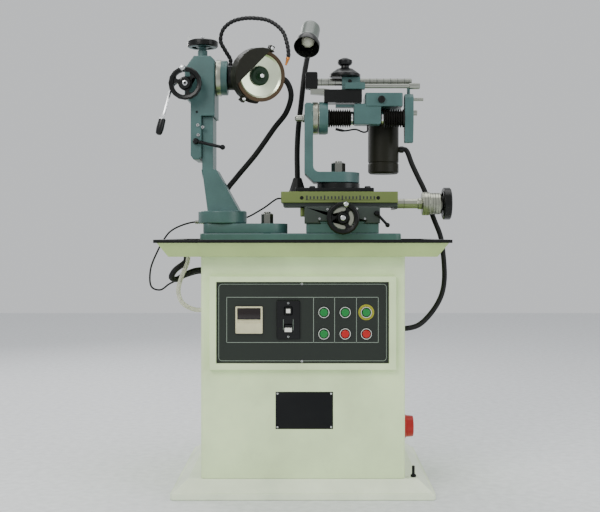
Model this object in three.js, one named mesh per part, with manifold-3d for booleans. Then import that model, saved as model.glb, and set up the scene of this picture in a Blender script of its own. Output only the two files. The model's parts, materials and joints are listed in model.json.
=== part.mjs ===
import * as THREE from "three";
import { mergeVertices } from "three/addons/utils/BufferGeometryUtils.js";
import Module from "manifold-3d";

const wasm = await Module();
wasm.setup();

// Main sizes in millimetres. X runs to the right, Y to the back, Z up from the floor.
const gap = 0.3;
const cabinet = { half: 272, front: -257, back: 243, top: 639, sheet: 3, corner: 8 };
const footReach = 78;
const footSlope = 43;
const foot = {
  halfX: cabinet.half + footReach, halfY: -cabinet.front + footSlope, lip: 18, height: 48, corner: 14,
};
const trayDepth = 44;
const trayReach = 81;
const trayFlare = 32;
const tray = {
  bottomX: cabinet.half + trayReach, bottomY: 298, topX: cabinet.half + trayReach + trayFlare, topY: 330,
  top: cabinet.top + trayDepth, sheet: 4, rim: 9, lip: 2, lipDepth: 5,
};
const bedRise = 62;
const bed = {
  left: -cabinet.half - 20, right: cabinet.half + 4, front: -110, back: 130, top: cabinet.top + bedRise,
};
const slideAxis = { x: 101, y: -20 };
const columnAxis = { x: -104, y: -41.5 };
const post = { x: -232, y: -41.5 };
const feedRise = 417;
const armRise = 333;
const wheelRise = 439;
const feedHeight = bed.top + feedRise;
const armHeight = bed.top + armRise;
const wheelCentre = new THREE.Vector3(-122, -130, bed.top + wheelRise);
const wheelTurn = 0.41;
const wheelDrop = -0.14;
const fineness = 0.44;
const round = 32;
const small = 16;
const fine = 12;

// Solid helpers: each one returns a closed three.js geometry.
function manifoldOf(geometry) {
  const copy = geometry.clone();
  copy.deleteAttribute("normal");
  copy.deleteAttribute("uv");
  const merged = mergeVertices(copy, 1e-4);
  const mesh = new wasm.Mesh({
    numProp: 3,
    vertProperties: new Float32Array(merged.attributes.position.array),
    triVerts: new Uint32Array(merged.index.array),
  });
  return new wasm.Manifold(mesh);
}

function geometryOf(manifold) {
  const mesh = manifold.getMesh();
  const count = mesh.numVert;
  const positions = new Float32Array(count * 3);
  for (let i = 0; i < count; i++) {
    const at = i * mesh.numProp;
    positions.set(mesh.vertProperties.subarray(at, at + 3), i * 3);
  }
  const geometry = new THREE.BufferGeometry();
  geometry.setAttribute("position", new THREE.BufferAttribute(positions, 3));
  geometry.setIndex(new THREE.BufferAttribute(new Uint32Array(mesh.triVerts), 1));
  return geometry;
}

function join(first, ...others) {
  let result = manifoldOf(first);
  for (const other of others) result = result.add(manifoldOf(other));
  return geometryOf(result);
}

function cut(first, ...others) {
  let result = manifoldOf(first);
  for (const other of others) result = result.subtract(manifoldOf(other));
  return geometryOf(result);
}

function shared(first, other) {
  return geometryOf(manifoldOf(first).intersect(manifoldOf(other)));
}

function box(x0, x1, y0, y1, z0, z1) {
  const geometry = new THREE.BoxGeometry(x1 - x0, y1 - y0, z1 - z0);
  return geometry.translate((x0 + x1) / 2, (y0 + y1) / 2, (z0 + z1) / 2);
}

// Turns a geometry built along Z so that it lies along the named axis.
function along(geometry, axis) {
  if (axis === "x") return geometry.rotateY(Math.PI / 2);
  if (axis === "y") return geometry.rotateX(-Math.PI / 2);
  return geometry;
}

// Every round form is divided into an even number of flats, set by one fineness.
// A turned piece: stations are [radius, distance] pairs measured from the start point.
function turnSteps(steps) {
  return Math.max(8, 2 * Math.round((steps * fineness) / 2));
}

function turned(stations, axis, at, steps = round) {
  const points = stations.map(([r, d]) => new THREE.Vector2(r, d));
  if (points[0].x > 0) points.unshift(new THREE.Vector2(0, points[0].y));
  const last = points[points.length - 1];
  if (last.x > 0) points.push(new THREE.Vector2(0, last.y));
  const geometry = new THREE.LatheGeometry(points, turnSteps(steps));
  geometry.rotateX(Math.PI / 2);
  return along(geometry, axis).translate(at[0], at[1], at[2]);
}

// A turned ring with a bore: the profile is closed on itself.
function ring(stations, axis, at, steps = round) {
  const points = stations.map(([r, d]) => new THREE.Vector2(r, d));
  points.push(points[0].clone());
  const geometry = new THREE.LatheGeometry(points, turnSteps(steps));
  geometry.rotateX(Math.PI / 2);
  return along(geometry, axis).translate(at[0], at[1], at[2]);
}

function rod(radius, length, axis, at, steps = small) {
  return turned([[radius, 0], [radius, length]], axis, at, steps);
}

// The bore that leaves a many-sided shaft free to turn inside it.
function boreFor(radius, steps) {
  return (radius + gap) / Math.cos(Math.PI / turnSteps(steps));
}

// A flat outline given as a three.js shape, raised from z0 to z1.
function raised(shape, z0, z1, edge = 0, curve = 2) {
  const geometry = new THREE.ExtrudeGeometry(shape, {
    depth: z1 - z0 - 2 * edge,
    bevelEnabled: edge > 0,
    bevelSize: edge,
    bevelThickness: edge,
    bevelOffset: -edge,
    bevelSegments: 1,
    curveSegments: curve,
  });
  return geometry.translate(0, 0, z0 + edge);
}

// Stands a raised outline up: its X stays X, its Y becomes Z, its height becomes depth.
function upright(shape, y0, y1, edge = 0, curve = 2) {
  return raised(shape, 0, y1 - y0, edge, curve).rotateX(Math.PI / 2).translate(0, y1, 0);
}

// Stands a raised outline facing X: its X becomes Y, its Y becomes Z.
function facing(shape, x0, x1, edge = 0, curve = 2) {
  const geometry = raised(shape, x0, x1, edge, curve);
  const turn = new THREE.Matrix4().set(0, 0, 1, 0, 1, 0, 0, 0, 0, 1, 0, 0, 0, 0, 0, 1);
  return geometry.applyMatrix4(turn);
}

function outline(points) {
  return new THREE.Shape(points.map(([x, y]) => new THREE.Vector2(x, y)));
}

function roundedOutline(x0, x1, y0, y1, r) {
  const shape = new THREE.Shape();
  shape.moveTo(x0 + r, y0);
  shape.lineTo(x1 - r, y0);
  shape.absarc(x1 - r, y0 + r, r, -Math.PI / 2, 0);
  shape.lineTo(x1, y1 - r);
  shape.absarc(x1 - r, y1 - r, r, 0, Math.PI / 2);
  shape.lineTo(x0 + r, y1);
  shape.absarc(x0 + r, y1 - r, r, Math.PI / 2, Math.PI);
  shape.lineTo(x0, y0 + r);
  shape.absarc(x0 + r, y0 + r, r, Math.PI, Math.PI * 1.5);
  return shape;
}

function roundedBox(x0, x1, y0, y1, z0, z1, r, edge = 0) {
  return raised(roundedOutline(x0, x1, y0, y1, r), z0, z1, edge, 2);
}

// A pyramid stump between two centred rectangles.
function stump(halfX0, halfY0, z0, halfX1, halfY1, z1) {
  const geometry = new THREE.BoxGeometry(2, 2, 2);
  const place = geometry.attributes.position;
  for (let i = 0; i < place.count; i++) {
    const upper = place.getZ(i) > 0;
    const x = place.getX(i) * (upper ? halfX1 : halfX0);
    const y = place.getY(i) * (upper ? halfY1 : halfY0);
    place.setXYZ(i, x, y, upper ? z1 : z0);
  }
  return geometry;
}

function hexagon(acrossCorners, height, axis, at) {
  const shape = new THREE.Shape();
  for (let i = 0; i < 6; i++) {
    const angle = (i * Math.PI) / 3 + Math.PI / 6;
    const x = Math.cos(angle) * acrossCorners / 2;
    const y = Math.sin(angle) * acrossCorners / 2;
    if (i === 0) shape.moveTo(x, y);
    else shape.lineTo(x, y);
  }
  return along(raised(shape, 0, height), axis).translate(at[0], at[1], at[2]);
}

// Routes are set by hand, with heights counted from the top of the bed.
const fromBed = (route) => route.map(([x, y, rise]) => [x, y, bed.top + rise]);

// An unbroken tube through hand-set route points.
function tube(route, radius, sides, steps) {
  const points = route.map(([x, y, z]) => new THREE.Vector3(x, y, z));
  const path = new THREE.CatmullRomCurve3(points, false, "centripetal");
  const section = new THREE.Shape();
  for (let i = 0; i < sides; i++) {
    const angle = (i * 2 * Math.PI) / sides;
    const x = Math.cos(angle) * radius;
    const y = Math.sin(angle) * radius;
    if (i === 0) section.moveTo(x, y);
    else section.lineTo(x, y);
  }
  return new THREE.ExtrudeGeometry(section, { steps, bevelEnabled: false, extrudePath: path });
}

const machine = new THREE.Group();
const paints = {
  casting: { color: 0x4a6466, roughness: 0.5, metalness: 0.1 },
  cream: { color: 0xc8d4b9, roughness: 0.5, metalness: 0.05 },
  slate: { color: 0x2d3e3a, roughness: 0.5, metalness: 0.1 },
  black: { color: 0x181a19, roughness: 0.45, metalness: 0.1 },
  steel: { color: 0xb9bdbd, roughness: 0.3, metalness: 0.9 },
  khaki: { color: 0x787846, roughness: 0.45, metalness: 0.3 },
  guard: { color: 0x1e2019, roughness: 0.55, metalness: 0.1 },
  red: { color: 0xb3201c, roughness: 0.4, metalness: 0 },
  green: { color: 0x2f8f4a, roughness: 0.4, metalness: 0 },
  white: { color: 0xeceae2, roughness: 0.4, metalness: 0 },
  clear: { color: 0xd8d6c4, roughness: 0.3, metalness: 0 },
};

function piece(name, geometry, paint) {
  const mesh = new THREE.Mesh(geometry, new THREE.MeshStandardMaterial(paints[paint]));
  mesh.name = name;
  machine.add(mesh);
  return mesh;
}

// Foot: a cast frame whose underside has four pockets between cross ribs.
const footRib = 30;
const footWall = 26;
const footRoof = 14;
function footCasting() {
  const hx = foot.halfX;
  const hy = foot.halfY;
  const topX = hx - footSlope;
  const topY = hy - footSlope;
  const lip = roundedBox(-hx, hx, -hy, hy, 0, foot.lip, foot.corner, 2);
  const slope = stump(hx - 6, hy - 6, foot.lip - 1, topX, topY, foot.height);
  const pockets = [];
  for (const sx of [-1, 1]) {
    for (const sy of [-1, 1]) {
      const near = footRib / 2;
      const farX = topX - footWall;
      const farY = topY - footWall;
      const x0 = Math.min(sx * near, sx * farX);
      const x1 = Math.max(sx * near, sx * farX);
      const y0 = Math.min(sy * near, sy * farY);
      const y1 = Math.max(sy * near, sy * farY);
      pockets.push(box(x0, x1, y0, y1, -1, foot.height - footRoof));
    }
  }
  const padHeight = foot.height - foot.lip + 2 * bolt.seat;
  const pad = turned([[bolt.pad, 0], [bolt.pad, padHeight]], "z", [bolt.x, bolt.y, foot.lip - bolt.seat]);
  const bore = rod(bolt.radius + gap, foot.height + 2 * footWall, "z", [bolt.x, bolt.y, -footWall], fine);
  return cut(join(lip, slope, pad), ...pockets, bore);
}

// The levelling bolt stands in the rim of the foot, clear of the cabinet.
const bolt = {
  x: foot.halfX - 55, y: -foot.halfY + 55, radius: 3.9, length: foot.height + 30, pad: 16, seat: 2, nut: 15,
  nutHeight: 7,
};
piece("foot", footCasting(), "cream");

function levellingBolt() {
  const shank = rod(bolt.radius, bolt.length, "z", [bolt.x, bolt.y, bolt.seat], fine);
  const nut = hexagon(bolt.nut, bolt.nutHeight, "z", [bolt.x, bolt.y, foot.height + bolt.seat + gap]);
  return join(shank, nut);
}
piece("levelling_bolt", levellingBolt(), "black");

// Cabinet: a folded sheet box, open at the back, with a raised frame round the front panel.
const panel = {
  left: -cabinet.half + 42, right: cabinet.half - 44, low: cabinet.top - 283, high: cabinet.top - 67,
};
const frame = {
  left: panel.left - 18, right: panel.right + 19, low: panel.low - 17, high: panel.high + 15, out: 15,
};
const inletAt = { y: -160, z: 170, bore: 24 };
function cabinetShell() {
  const h = cabinet.half;
  const s = cabinet.sheet;
  const z0 = foot.height + gap;
  const z1 = cabinet.top;
  const body = roundedBox(-h, h, cabinet.front, cabinet.back, z0, z1, cabinet.corner);
  const hollow = box(-h + s, h - s, cabinet.front + s, cabinet.back + 1, z0 + 8, z1 - s);
  const out = cabinet.front - frame.out;
  const collar = box(frame.left, frame.right, out, cabinet.front + 1, frame.low, frame.high);
  const window = box(panel.left, panel.right, cabinet.front - 40, cabinet.front + 20, panel.low, panel.high);
  const inlet = rod(inletAt.bore, 20, "x", [h - 10, inletAt.y, inletAt.z], small);
  return cut(join(cut(body, hollow), collar), window, inlet);
}
piece("cabinet", cabinetShell(), "cream");

function rearCover() {
  const h = cabinet.half;
  const edge = 1;
  const y0 = cabinet.back + gap;
  const sheet = roundedBox(-h + edge, h - edge, y0, y0 + 2, foot.height + edge, cabinet.top - edge, 0.5);
  const slots = [];
  const slot = { width: 60, height: 6, pitch: 14, count: 6, start: cabinet.top - 159, apart: 140 };
  for (let i = 0; i < slot.count; i++) {
    const z = slot.start + i * slot.pitch;
    for (const x of [-slot.apart, 0, slot.apart]) {
      slots.push(box(x - slot.width / 2, x + slot.width / 2, y0 - 2, y0 + 5, z, z + slot.height));
    }
  }
  return cut(sheet, ...slots);
}
piece("rear_cover", rearCover(), "cream");

// Tray: an inverted pyramid stump of sheet with a rolled rim.
function trayPan() {
  const t = tray;
  const s = t.sheet;
  const z0 = cabinet.top + gap;
  const outside = stump(t.bottomX, t.bottomY, z0, t.topX, t.topY, t.top);
  const inside = stump(t.bottomX - s, t.bottomY - s, z0 + s, t.topX - s, t.topY - s, t.top + 0.5);
  const floor = box(bed.left + 4, bed.right - 4, bed.front + 4, bed.back - 4, z0 - 1, z0 + s + 1);
  return cut(outside, inside, floor);
}

function trayRim() {
  const t = tray;
  const x = t.topX + t.lip;
  const y = t.topY + t.lip;
  const high = t.top + t.lipDepth / 5;
  const outer = stump(x, y, high - t.lipDepth, x, y, high);
  const innerX = t.topX - t.rim;
  const innerY = t.topY - t.rim;
  const inner = box(-innerX, innerX, -innerY, innerY, t.top - t.rim, t.top + t.rim);
  return cut(outer, inner);
}
piece("tray", join(trayPan(), trayRim()), "cream");

// Bed: the casting that carries both columns, ribbed underneath.
const bedFoot = cabinet.top + 4 + 2 * gap;
const studRadius = 10;
function bedCasting() {
  const b = bed;
  const body = roundedBox(b.left, b.right, b.front, b.back, bedFoot, b.top, 20, 2);
  const wall = 18;
  const pockets = [];
  const rib = 8;
  const cells = 4;
  const cell = (b.right - b.left - 2 * wall - (cells - 1) * rib) / cells;
  for (let i = 0; i < cells; i++) {
    const x0 = b.left + wall + i * (cell + rib);
    pockets.push(box(x0, x0 + cell, b.front + wall, b.back - wall, bedFoot - 1, b.top - wall));
  }
  const studs = [columnAxis, slideAxis].map((a) => rod(studRadius + gap, 30, "z", [a.x, a.y, b.top - 14]));
  return cut(body, ...pockets, ...studs);
}
piece("bed", bedCasting(), "casting");

// Front panel with its instruments.
const buttonColumns = [panel.right - 172.5, panel.right - 116, panel.right - 60];
const buttonRows = [panel.high - 81, panel.high - 138];
const panelFace = cabinet.front - 6;
const bezel = { outer: 15, bore: 11.6, depth: 5 };
const cap = { radius: 11, out: 9 };
const meter = { x: panel.left + 87, z: panel.high - 101, half: 36 };
const breaker = { x: panel.left + 191, z: panel.high - 100.5, halfX: 31, halfZ: 51.5 };
function panelPlate() {
  const y0 = panelFace;
  const thick = 4;
  const clear = gap;
  const plate = box(
    panel.left + clear, panel.right - clear, y0, y0 + thick, panel.low + clear, panel.high - clear);
  const bezels = [];
  const bores = [];
  for (const x of buttonColumns) {
    for (const z of buttonRows) {
      const start = [x, y0 - bezel.depth, z];
      const collar = [[bezel.outer - 2, 0], [bezel.outer, 2], [bezel.outer, bezel.depth + 1]];
      bezels.push(turned(collar, "y", start, 28));
      bores.push(rod(bezel.bore, 40, "y", [x, y0 - 20, z], small));
    }
  }
  const openings = [
    box(meter.x - 30, meter.x + 30, y0 - 5, y0 + 10, meter.z - 30, meter.z + 30),
    box(breaker.x - 24, breaker.x + 24, y0 - 5, y0 + 10, breaker.z - 44, breaker.z + 44),
  ];
  return cut(join(plate, ...bezels), ...bores, ...openings);
}
piece("panel_plate", panelPlate(), "slate");

const buttonPaint = ["green", "green", "green", "green", "red", "red"];
function pushButton(x, z) {
  const face = panelFace - cap.out;
  const stations = [[cap.radius - 1.5, 0], [cap.radius, 1.5], [cap.radius, cap.out + 6]];
  const head = turned(stations, "y", [x, face, z], small);
  const stem = rod(5, 28, "y", [x, face + cap.out + 5, z], fine);
  return join(head, stem);
}
buttonRows.forEach((z, row) => {
  buttonColumns.forEach((x, column) => {
    const index = row * 3 + column;
    piece("push_button_" + (index + 1), pushButton(x, z), buttonPaint[index]);
  });
});

function panelMeter() {
  const y1 = panelFace - gap;
  const m = meter;
  const edge = roundedOutline(m.x - m.half, m.x + m.half, m.z - m.half, m.z + m.half, 3);
  const front = upright(edge, y1 - 8, y1, 1.2);
  const dial = box(m.x - m.half + 6, m.x + m.half - 6, y1 - 9, y1 - 5, m.z - 8, m.z + m.half - 6);
  const can = rod(28, 46, "y", [m.x, y1 - 1, m.z], small);
  return cut(join(front, can), dial);
}
piece("panel_meter", panelMeter(), "white");

function breakerBody() {
  const y1 = panelFace - gap;
  const b = breaker;
  const front = upright(
    roundedOutline(b.x - b.halfX, b.x + b.halfX, b.z - b.halfZ, b.z + b.halfZ, 3), y1 - 7, y1, 1);
  const can = box(b.x - 22, b.x + 22, y1 - 1, y1 + 52, b.z - 42, b.z + 42);
  const slots = [];
  for (const z of [breaker.z + 24, breaker.z - 22]) {
    slots.push(box(b.x - 10.5, b.x + 10.5, y1 - 20, y1 + 20, z - 10.5, z + 10.5));
  }
  return cut(join(front, can), ...slots);
}
piece("breaker_body", breakerBody(), "black");

function breakerButton(z) {
  const half = 9.6;
  const y0 = panelFace - gap - 12;
  const shape = roundedOutline(breaker.x - half, breaker.x + half, z - half, z + half, 1.5);
  return upright(shape, y0, y0 + 22, 1);
}
piece("breaker_on", breakerButton(breaker.z + 24), "white");
piece("breaker_off", breakerButton(breaker.z - 22), "white");

const inletStations = [[20, 0], [35, 0], [35, 8], [30, 10], [28, 30], [22, 30]];
const inletPlug = { radius: 21.5, length: 14, sunk: 6 };
function powerInlet() {
  const x = cabinet.half + gap;
  const p = inletPlug;
  const socket = ring(inletStations, "x", [x, inletAt.y, inletAt.z], 32);
  const plug = rod(p.radius, p.length, "x", [x - p.sunk, inletAt.y, inletAt.z], 32);
  return join(socket, plug);
}
piece("power_inlet", powerInlet(), "red");

// Inside the cabinet.
const floorSheet = 8;
const tank = {
  left: -cabinet.half + 22, right: -20, front: cabinet.front + 37, back: cabinet.back - 43, height: 200,
  wall: 3, corner: 12,
};
function coolantTank() {
  const t = tank;
  const w = t.wall;
  const z0 = foot.height + floorSheet + 2 * gap;
  const outside = roundedBox(t.left, t.right, t.front, t.back, z0, z0 + t.height, t.corner);
  const inside = roundedBox(
    t.left + w, t.right - w, t.front + w, t.back - w, z0 + w, z0 + t.height + w, t.corner - w);
  return cut(outside, inside);
}
piece("coolant_tank", coolantTank(), "black");

const pumpStations = [
  [40, 0], [40, 50], [18, 54], [18, 205], [60, 206], [60, 216], [46, 218], [46, 320], [38, 330],
];
function coolantPump() {
  const floor = foot.height + floorSheet + tank.wall + 3 * gap;
  const at = [(tank.left + tank.right) / 2, (tank.front + tank.back) / 2, floor];
  return turned(pumpStations, "z", at, 28);
}
piece("coolant_pump", coolantPump(), "casting");

const electrics = {
  left: 60, right: cabinet.half - 22, back: cabinet.back - 63, sheet: 3, shelf: 40, inset: 20, depth: 60,
  first: 94, pitch: 110, block: 70, count: 3, height: 484,
};
function electricsPlate() {
  const e = electrics;
  const z0 = foot.height + floorSheet + 2 * gap;
  const plate = box(e.left, e.right, e.back, e.back + e.sheet, z0, z0 + e.height);
  const shelf = box(e.left, e.right, e.back - e.shelf, e.back + e.sheet / 2, z0, z0 + e.sheet);
  const blocks = [];
  for (let i = 0; i < e.count; i++) {
    const z = z0 + e.first + i * e.pitch;
    const behind = e.back + e.sheet / 2;
    blocks.push(box(e.left + e.inset, e.right - e.inset, e.back - e.depth, behind, z, z + e.block));
  }
  return join(plate, shelf, ...blocks);
}
piece("electrics_plate", electricsPlate(), "steel");

// Left column: a swivel pad on the bed, the post and its narrow stem.
const slab = 28;
const padTop = bed.top + slab;
const padRadius = 58.5;
const padCorner = 20;
const discTop = padTop + 36;
const postTop = discTop + 117;
const stem = { left: -287, right: -256, front: -18, back: 26, top: postTop + 268 };
const headLow = postTop + 150;
const stemBlock = { front: -84, top: headLow - gap };
function columnPad() {
  const a = columnAxis;
  const c = padCorner;
  const left = post.x - 52 + c;
  const shape = new THREE.Shape();
  shape.moveTo(left, a.y - padRadius);
  shape.lineTo(a.x, a.y - padRadius);
  shape.absarc(a.x, a.y, padRadius, -Math.PI / 2, Math.PI / 2);
  shape.lineTo(left, a.y + padRadius);
  shape.absarc(left, a.y + padRadius - c, c, Math.PI / 2, Math.PI);
  shape.lineTo(left - c, a.y - padRadius + c);
  shape.absarc(left, a.y - padRadius + c, c, Math.PI, Math.PI * 1.5);
  const body = raised(shape, bed.top + gap, padTop, 1.5, 6);
  return cut(body, rod(boreFor(studRadius, small), 60, "z", [a.x, a.y, bed.top - 10]));
}
piece("column_pad", columnPad(), "casting");

function stud(at, height, corners, low = bed.top - 13) {
  const shank = rod(studRadius, height - low - 4, "z", [at.x, at.y, low]);
  const nutFoot = height - 30;
  const crown = [[corners / 2 + 1, 0], [corners / 2 + 1, 25], [corners / 2 - 4, 30]];
  const nut = shared(
    hexagon(corners, 30 - gap, "z", [at.x, at.y, nutFoot + gap]),
    turned(crown, "z", [at.x, at.y, nutFoot], 24),
  );
  return join(shank, nut, rod(studRadius, 6, "z", [at.x, at.y, height - 4]));
}
piece("column_nut", stud(columnAxis, padTop + 30, 34.6), "black");

const liftScrew = { radius: 6, y: 4 };
const cableGland = { x: -226, y: 40, rise: 105, radius: 10.5, height: 16, lug: 13 };
const discStations = [[68, 0], [70, 2], [70, 33], [67, 36]];
function columnPost() {
  const disc = turned(discStations, "z", [post.x, post.y, padTop + gap]);
  const taper = new THREE.BoxGeometry(1, 1, 1);
  const place = taper.attributes.position;
  const lower = { x0: post.x - 39, x1: post.x + 51, y0: stemBlock.front - 4, y1: stem.back };
  const upper = { x0: stem.left, x1: stem.right + 9, y0: stemBlock.front, y1: stem.back };
  for (let i = 0; i < place.count; i++) {
    const high = place.getZ(i) > 0;
    const edge = high ? upper : lower;
    const x = place.getX(i) > 0 ? edge.x1 : edge.x0;
    const y = place.getY(i) > 0 ? edge.y1 : edge.y0;
    place.setXYZ(i, x, y, high ? postTop : discTop - 2);
  }
  const shaft = box(stem.left, stem.right, stem.front, stem.back, postTop - 2, stem.top);
  const block = box(stem.left, stem.right, stemBlock.front, stem.back, postTop - 2, stemBlock.top);
  const g = cableGland;
  const high = bed.top + g.rise;
  const lug = box(g.x - g.lug, g.x + g.lug, stem.back - 8, g.y + 11, high - 24, high - 6);
  const gland = rod(g.radius, g.height, "z", [g.x, g.y, high - g.height], small);
  return join(disc, taper, shaft, block, lug, gland);
}
piece("column_post", columnPost(), "casting");

// Head: a block that wraps the stem and slides on it, with a long leg at its left.
const head = {
  left: -318, right: -250, front: -100, back: 34, low: headLow, top: headLow + 170, legLow: headLow - 123,
};
const quill = { y: -41.5, z: head.low + 115, radius: 17 };
const feed = {
  x: -328, z: feedHeight, front: -130, shaft: 5.8, radius: 46.5, thick: 17, hub: 15, reach: 66, knobTurn: -1.475,
};
const headClamp = { x: -302, z: head.low - 72, tipX: -226, tipDrop: 18 };
const liftAxis = { x: stem.left - 7.5, y: liftScrew.y };
const liftWheelSize = { radius: 45, thick: 20, hub: 14, shaft: liftScrew.radius, root: 16, lift: 4 };
function headCasting() {
  const h = head;
  const front = outline([
    [h.left, feed.z - 46], [feed.x - 7, feed.z - 34], [feed.x - 7, h.top - 36], [h.left + 9, h.top],
    [h.right - 12, h.top], [h.right, h.top - 12], [h.right, h.low],
    [stem.left - gap, h.low], [stem.left - gap, h.legLow + 8], [stem.left - 8, h.legLow],
    [h.left + 8, h.legLow], [h.left, h.legLow + 12],
  ]);
  const body = upright(front, h.front, h.back, 2);
  const boss = rod(13, 72, "y", [feed.x, h.front - 8, feed.z], 24);
  const channel = box(
    stem.left - gap, stem.right + gap, stem.front - gap, stem.back + gap, h.low - 5, h.top - 20);
  const quillBore = rod(quill.radius + gap, 100, "x", [h.left + 12, quill.y, quill.z], 28);
  const feedBore = rod(boreFor(feed.shaft, fine), 120, "y", [feed.x, h.front - 20, feed.z], fine);
  const screwBore = rod(boreFor(liftScrew.radius, fine), 60, "z", [liftAxis.x, liftAxis.y, h.top - liftWheelSize.root - gap], fine);
  const clampBore = rod(boreFor(5, fine), 40, "y", [headClamp.x, h.front - 10, headClamp.z], fine);
  return cut(join(body, boss), channel, quillBore, feedBore, screwBore, clampBore);
}
piece("head_casting", headCasting(), "casting");

// Hand wheel: a rim with three bean openings, a hub ring and a knob.
function handWheel(radius, thick, axis, at, hubRadius, options) {
  const rim = turned([
    [radius - 4, 0], [radius, 3], [radius, thick - 3], [radius - 4, thick],
    [radius - 12, thick - 2], [radius - 14, thick - 7], [hubRadius + 3, thick - 7], [hubRadius, thick],
  ], "z", [0, 0, 0], 36);
  const openings = [];
  const middle = (radius + hubRadius - 9) / 2;
  const width = (radius - 15 - hubRadius - 3) / 2;
  for (let i = 0; i < 3; i++) {
    const start = (i * Math.PI * 2) / 3 + options.turn;
    const end = start + 1.15;
    const bean = new THREE.Shape();
    bean.absarc(0, 0, middle + width, start, end, false);
    bean.absarc(Math.cos(end) * middle, Math.sin(end) * middle, width, end, end + Math.PI, false);
    bean.absarc(0, 0, middle - width, end, start, true);
    const near = { x: Math.cos(start) * middle, y: Math.sin(start) * middle };
    bean.absarc(near.x, near.y, width, start + Math.PI, start + Math.PI * 2);
    openings.push(raised(bean, -5, thick + 5, 0, 2));
  }
  let wheel = cut(rim, ...openings);
  if (options.knob) {
    const x = Math.cos(options.knob) * (radius - 8);
    const y = Math.sin(options.knob) * (radius - 8);
    const stations = [[4, 0], [4, 6], [7, 9], [9, 16], [9, 24], [6, 29], [3, 30]];
    wheel = join(wheel, turned(stations, "z", [x, y, thick - 5], fine));
  }
  if (options.shaft) {
    wheel = join(wheel, rod(options.shaft, options.reach + 2, "z", [0, 0, -options.reach], fine));
  }
  if (options.flip) wheel.rotateY(Math.PI);
  return along(wheel, axis).translate(at[0], at[1], at[2]);
}

const liftWheelFoot = head.top + 37;
const liftNeckStations = [[14.5, 0], [14.5, 31], [11, 33], [11, 42]];
function liftWheel() {
  const w = liftWheelSize;
  const at = [liftAxis.x, liftAxis.y, liftWheelFoot + w.lift];
  const options = { turn: 0.3, shaft: w.shaft, reach: at[2] - head.top + w.root };
  const wheel = handWheel(w.radius, w.thick, "z", at, w.hub, options);
  const neck = turned(liftNeckStations, "z", [liftAxis.x, liftAxis.y, head.top + gap], 24);
  return join(wheel, neck);
}
piece("lift_wheel", liftWheel(), "black");

function feedWheel() {
  const options = { turn: 0.2, knob: feed.knobTurn, shaft: feed.shaft, reach: feed.reach, flip: true };
  return handWheel(feed.radius, feed.thick, "y", [feed.x, feed.front, feed.z], feed.hub, options);
}
piece("feed_wheel", feedWheel(), "black");

function feedLever() {
  const y = head.front - 8 - gap - 10;
  const hub = ring([[6.2, 0], [13, 0], [13, 10], [6.2, 10]], "y", [feed.x, y, feed.z], 24);
  const bent = tube([
    [-340, y + 5, feed.z + 3], [-356, y + 4, feed.z + 5], [-366, y, feed.z - 6], [-394, y - 2, feed.z - 98],
  ], 4, 8, 12);
  const away = new THREE.Vector3(-11, -2, -45).normalize();
  const grip = turned([[7, 0], [10, 3], [11, 30], [9, 44], [5, 48]], "z", [0, 0, 0], small);
  grip.applyQuaternion(new THREE.Quaternion().setFromUnitVectors(new THREE.Vector3(0, 0, 1), away));
  grip.translate(-393.5, y - 2, feed.z - 95);
  return join(hub, bent, grip);
}
piece("feed_lever", feedLever(), "steel");

function clampLever(at, tip, radius) {
  const hub = turned([[radius, -2], [radius, 8], [radius - 3, 12]], "z", [0, 0, 0], small);
  hub.rotateX(Math.PI / 2).translate(at[0], at[1], at[2]);
  const screw = rod(5, 24, "y", [at[0], at[1] - 6, at[2]], fine);
  const start = [at[0], at[1] - 5, at[2]];
  const bar = tube([start, [(at[0] + tip[0]) / 2, at[1] - 6, (at[2] + tip[2]) / 2], tip], radius * 0.5, 8, 5);
  const ball = new THREE.IcosahedronGeometry(radius * 0.85, 1).translate(tip[0], tip[1], tip[2]);
  return join(hub, screw, bar, ball);
}
const headLeverAt = [headClamp.x, head.front - 2 - gap, headClamp.z];
const headLeverTip = [headClamp.tipX, -118, headClamp.z - headClamp.tipDrop];
piece("column_clamp_lever", clampLever(headLeverAt, headLeverTip, 9), "black");

// Quill with the graduated flange that carries the grinding head.
const flange = { left: head.right + gap, right: -217, radius: 52 };
const flangeStations = [[50, 0], [52, 2], [52, 14], [49.5, 14.5], [49.5, 31], [48, 32.7]];
function quillSlide() {
  const disc = turned(flangeStations, "x", [flange.left, quill.y, quill.z], 56);
  const bar = rod(quill.radius, 52, "x", [-300, quill.y, quill.z], 28);
  const pin = rod(8, 13, "x", [flange.right - 2, quill.y, quill.z], small);
  return join(disc, bar, pin);
}
piece("quill_flange", quillSlide(), "steel");

// Grinding head: built round its own axis, then turned to face front, right and a little down.
const facingOut = new THREE.Vector3(
  Math.sin(wheelTurn) * Math.cos(wheelDrop), -Math.cos(wheelTurn) * Math.cos(wheelDrop), Math.sin(wheelDrop));
const levelSide = new THREE.Vector3(Math.cos(wheelTurn), Math.sin(wheelTurn), 0);
const upSide = new THREE.Vector3().crossVectors(facingOut, levelSide);
const wheelFrame = new THREE.Matrix4()
  .makeBasis(levelSide, upSide, facingOut)
  .setPosition(wheelCentre);

function onWheel(geometry) {
  return geometry.applyMatrix4(wheelFrame);
}

const wheel = { radius: 71.5, bore: 10.3, hub: 27 };
const spindleRadius = 10;
const glandDepth = -60;
const wheelStations = [
  [wheel.bore, -6], [wheel.hub + 3, -6], [60, -2], [wheel.radius, 2], [wheel.radius, 13],
  [wheel.radius - 11, 13], [wheel.radius - 15, 5], [wheel.hub + 2, 0], [wheel.bore, 0],
];
function grindingWheel() {
  return onWheel(ring(wheelStations, "z", [0, 0, 0], 56));
}
piece("grinding_wheel", grindingWheel(), "steel");

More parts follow.
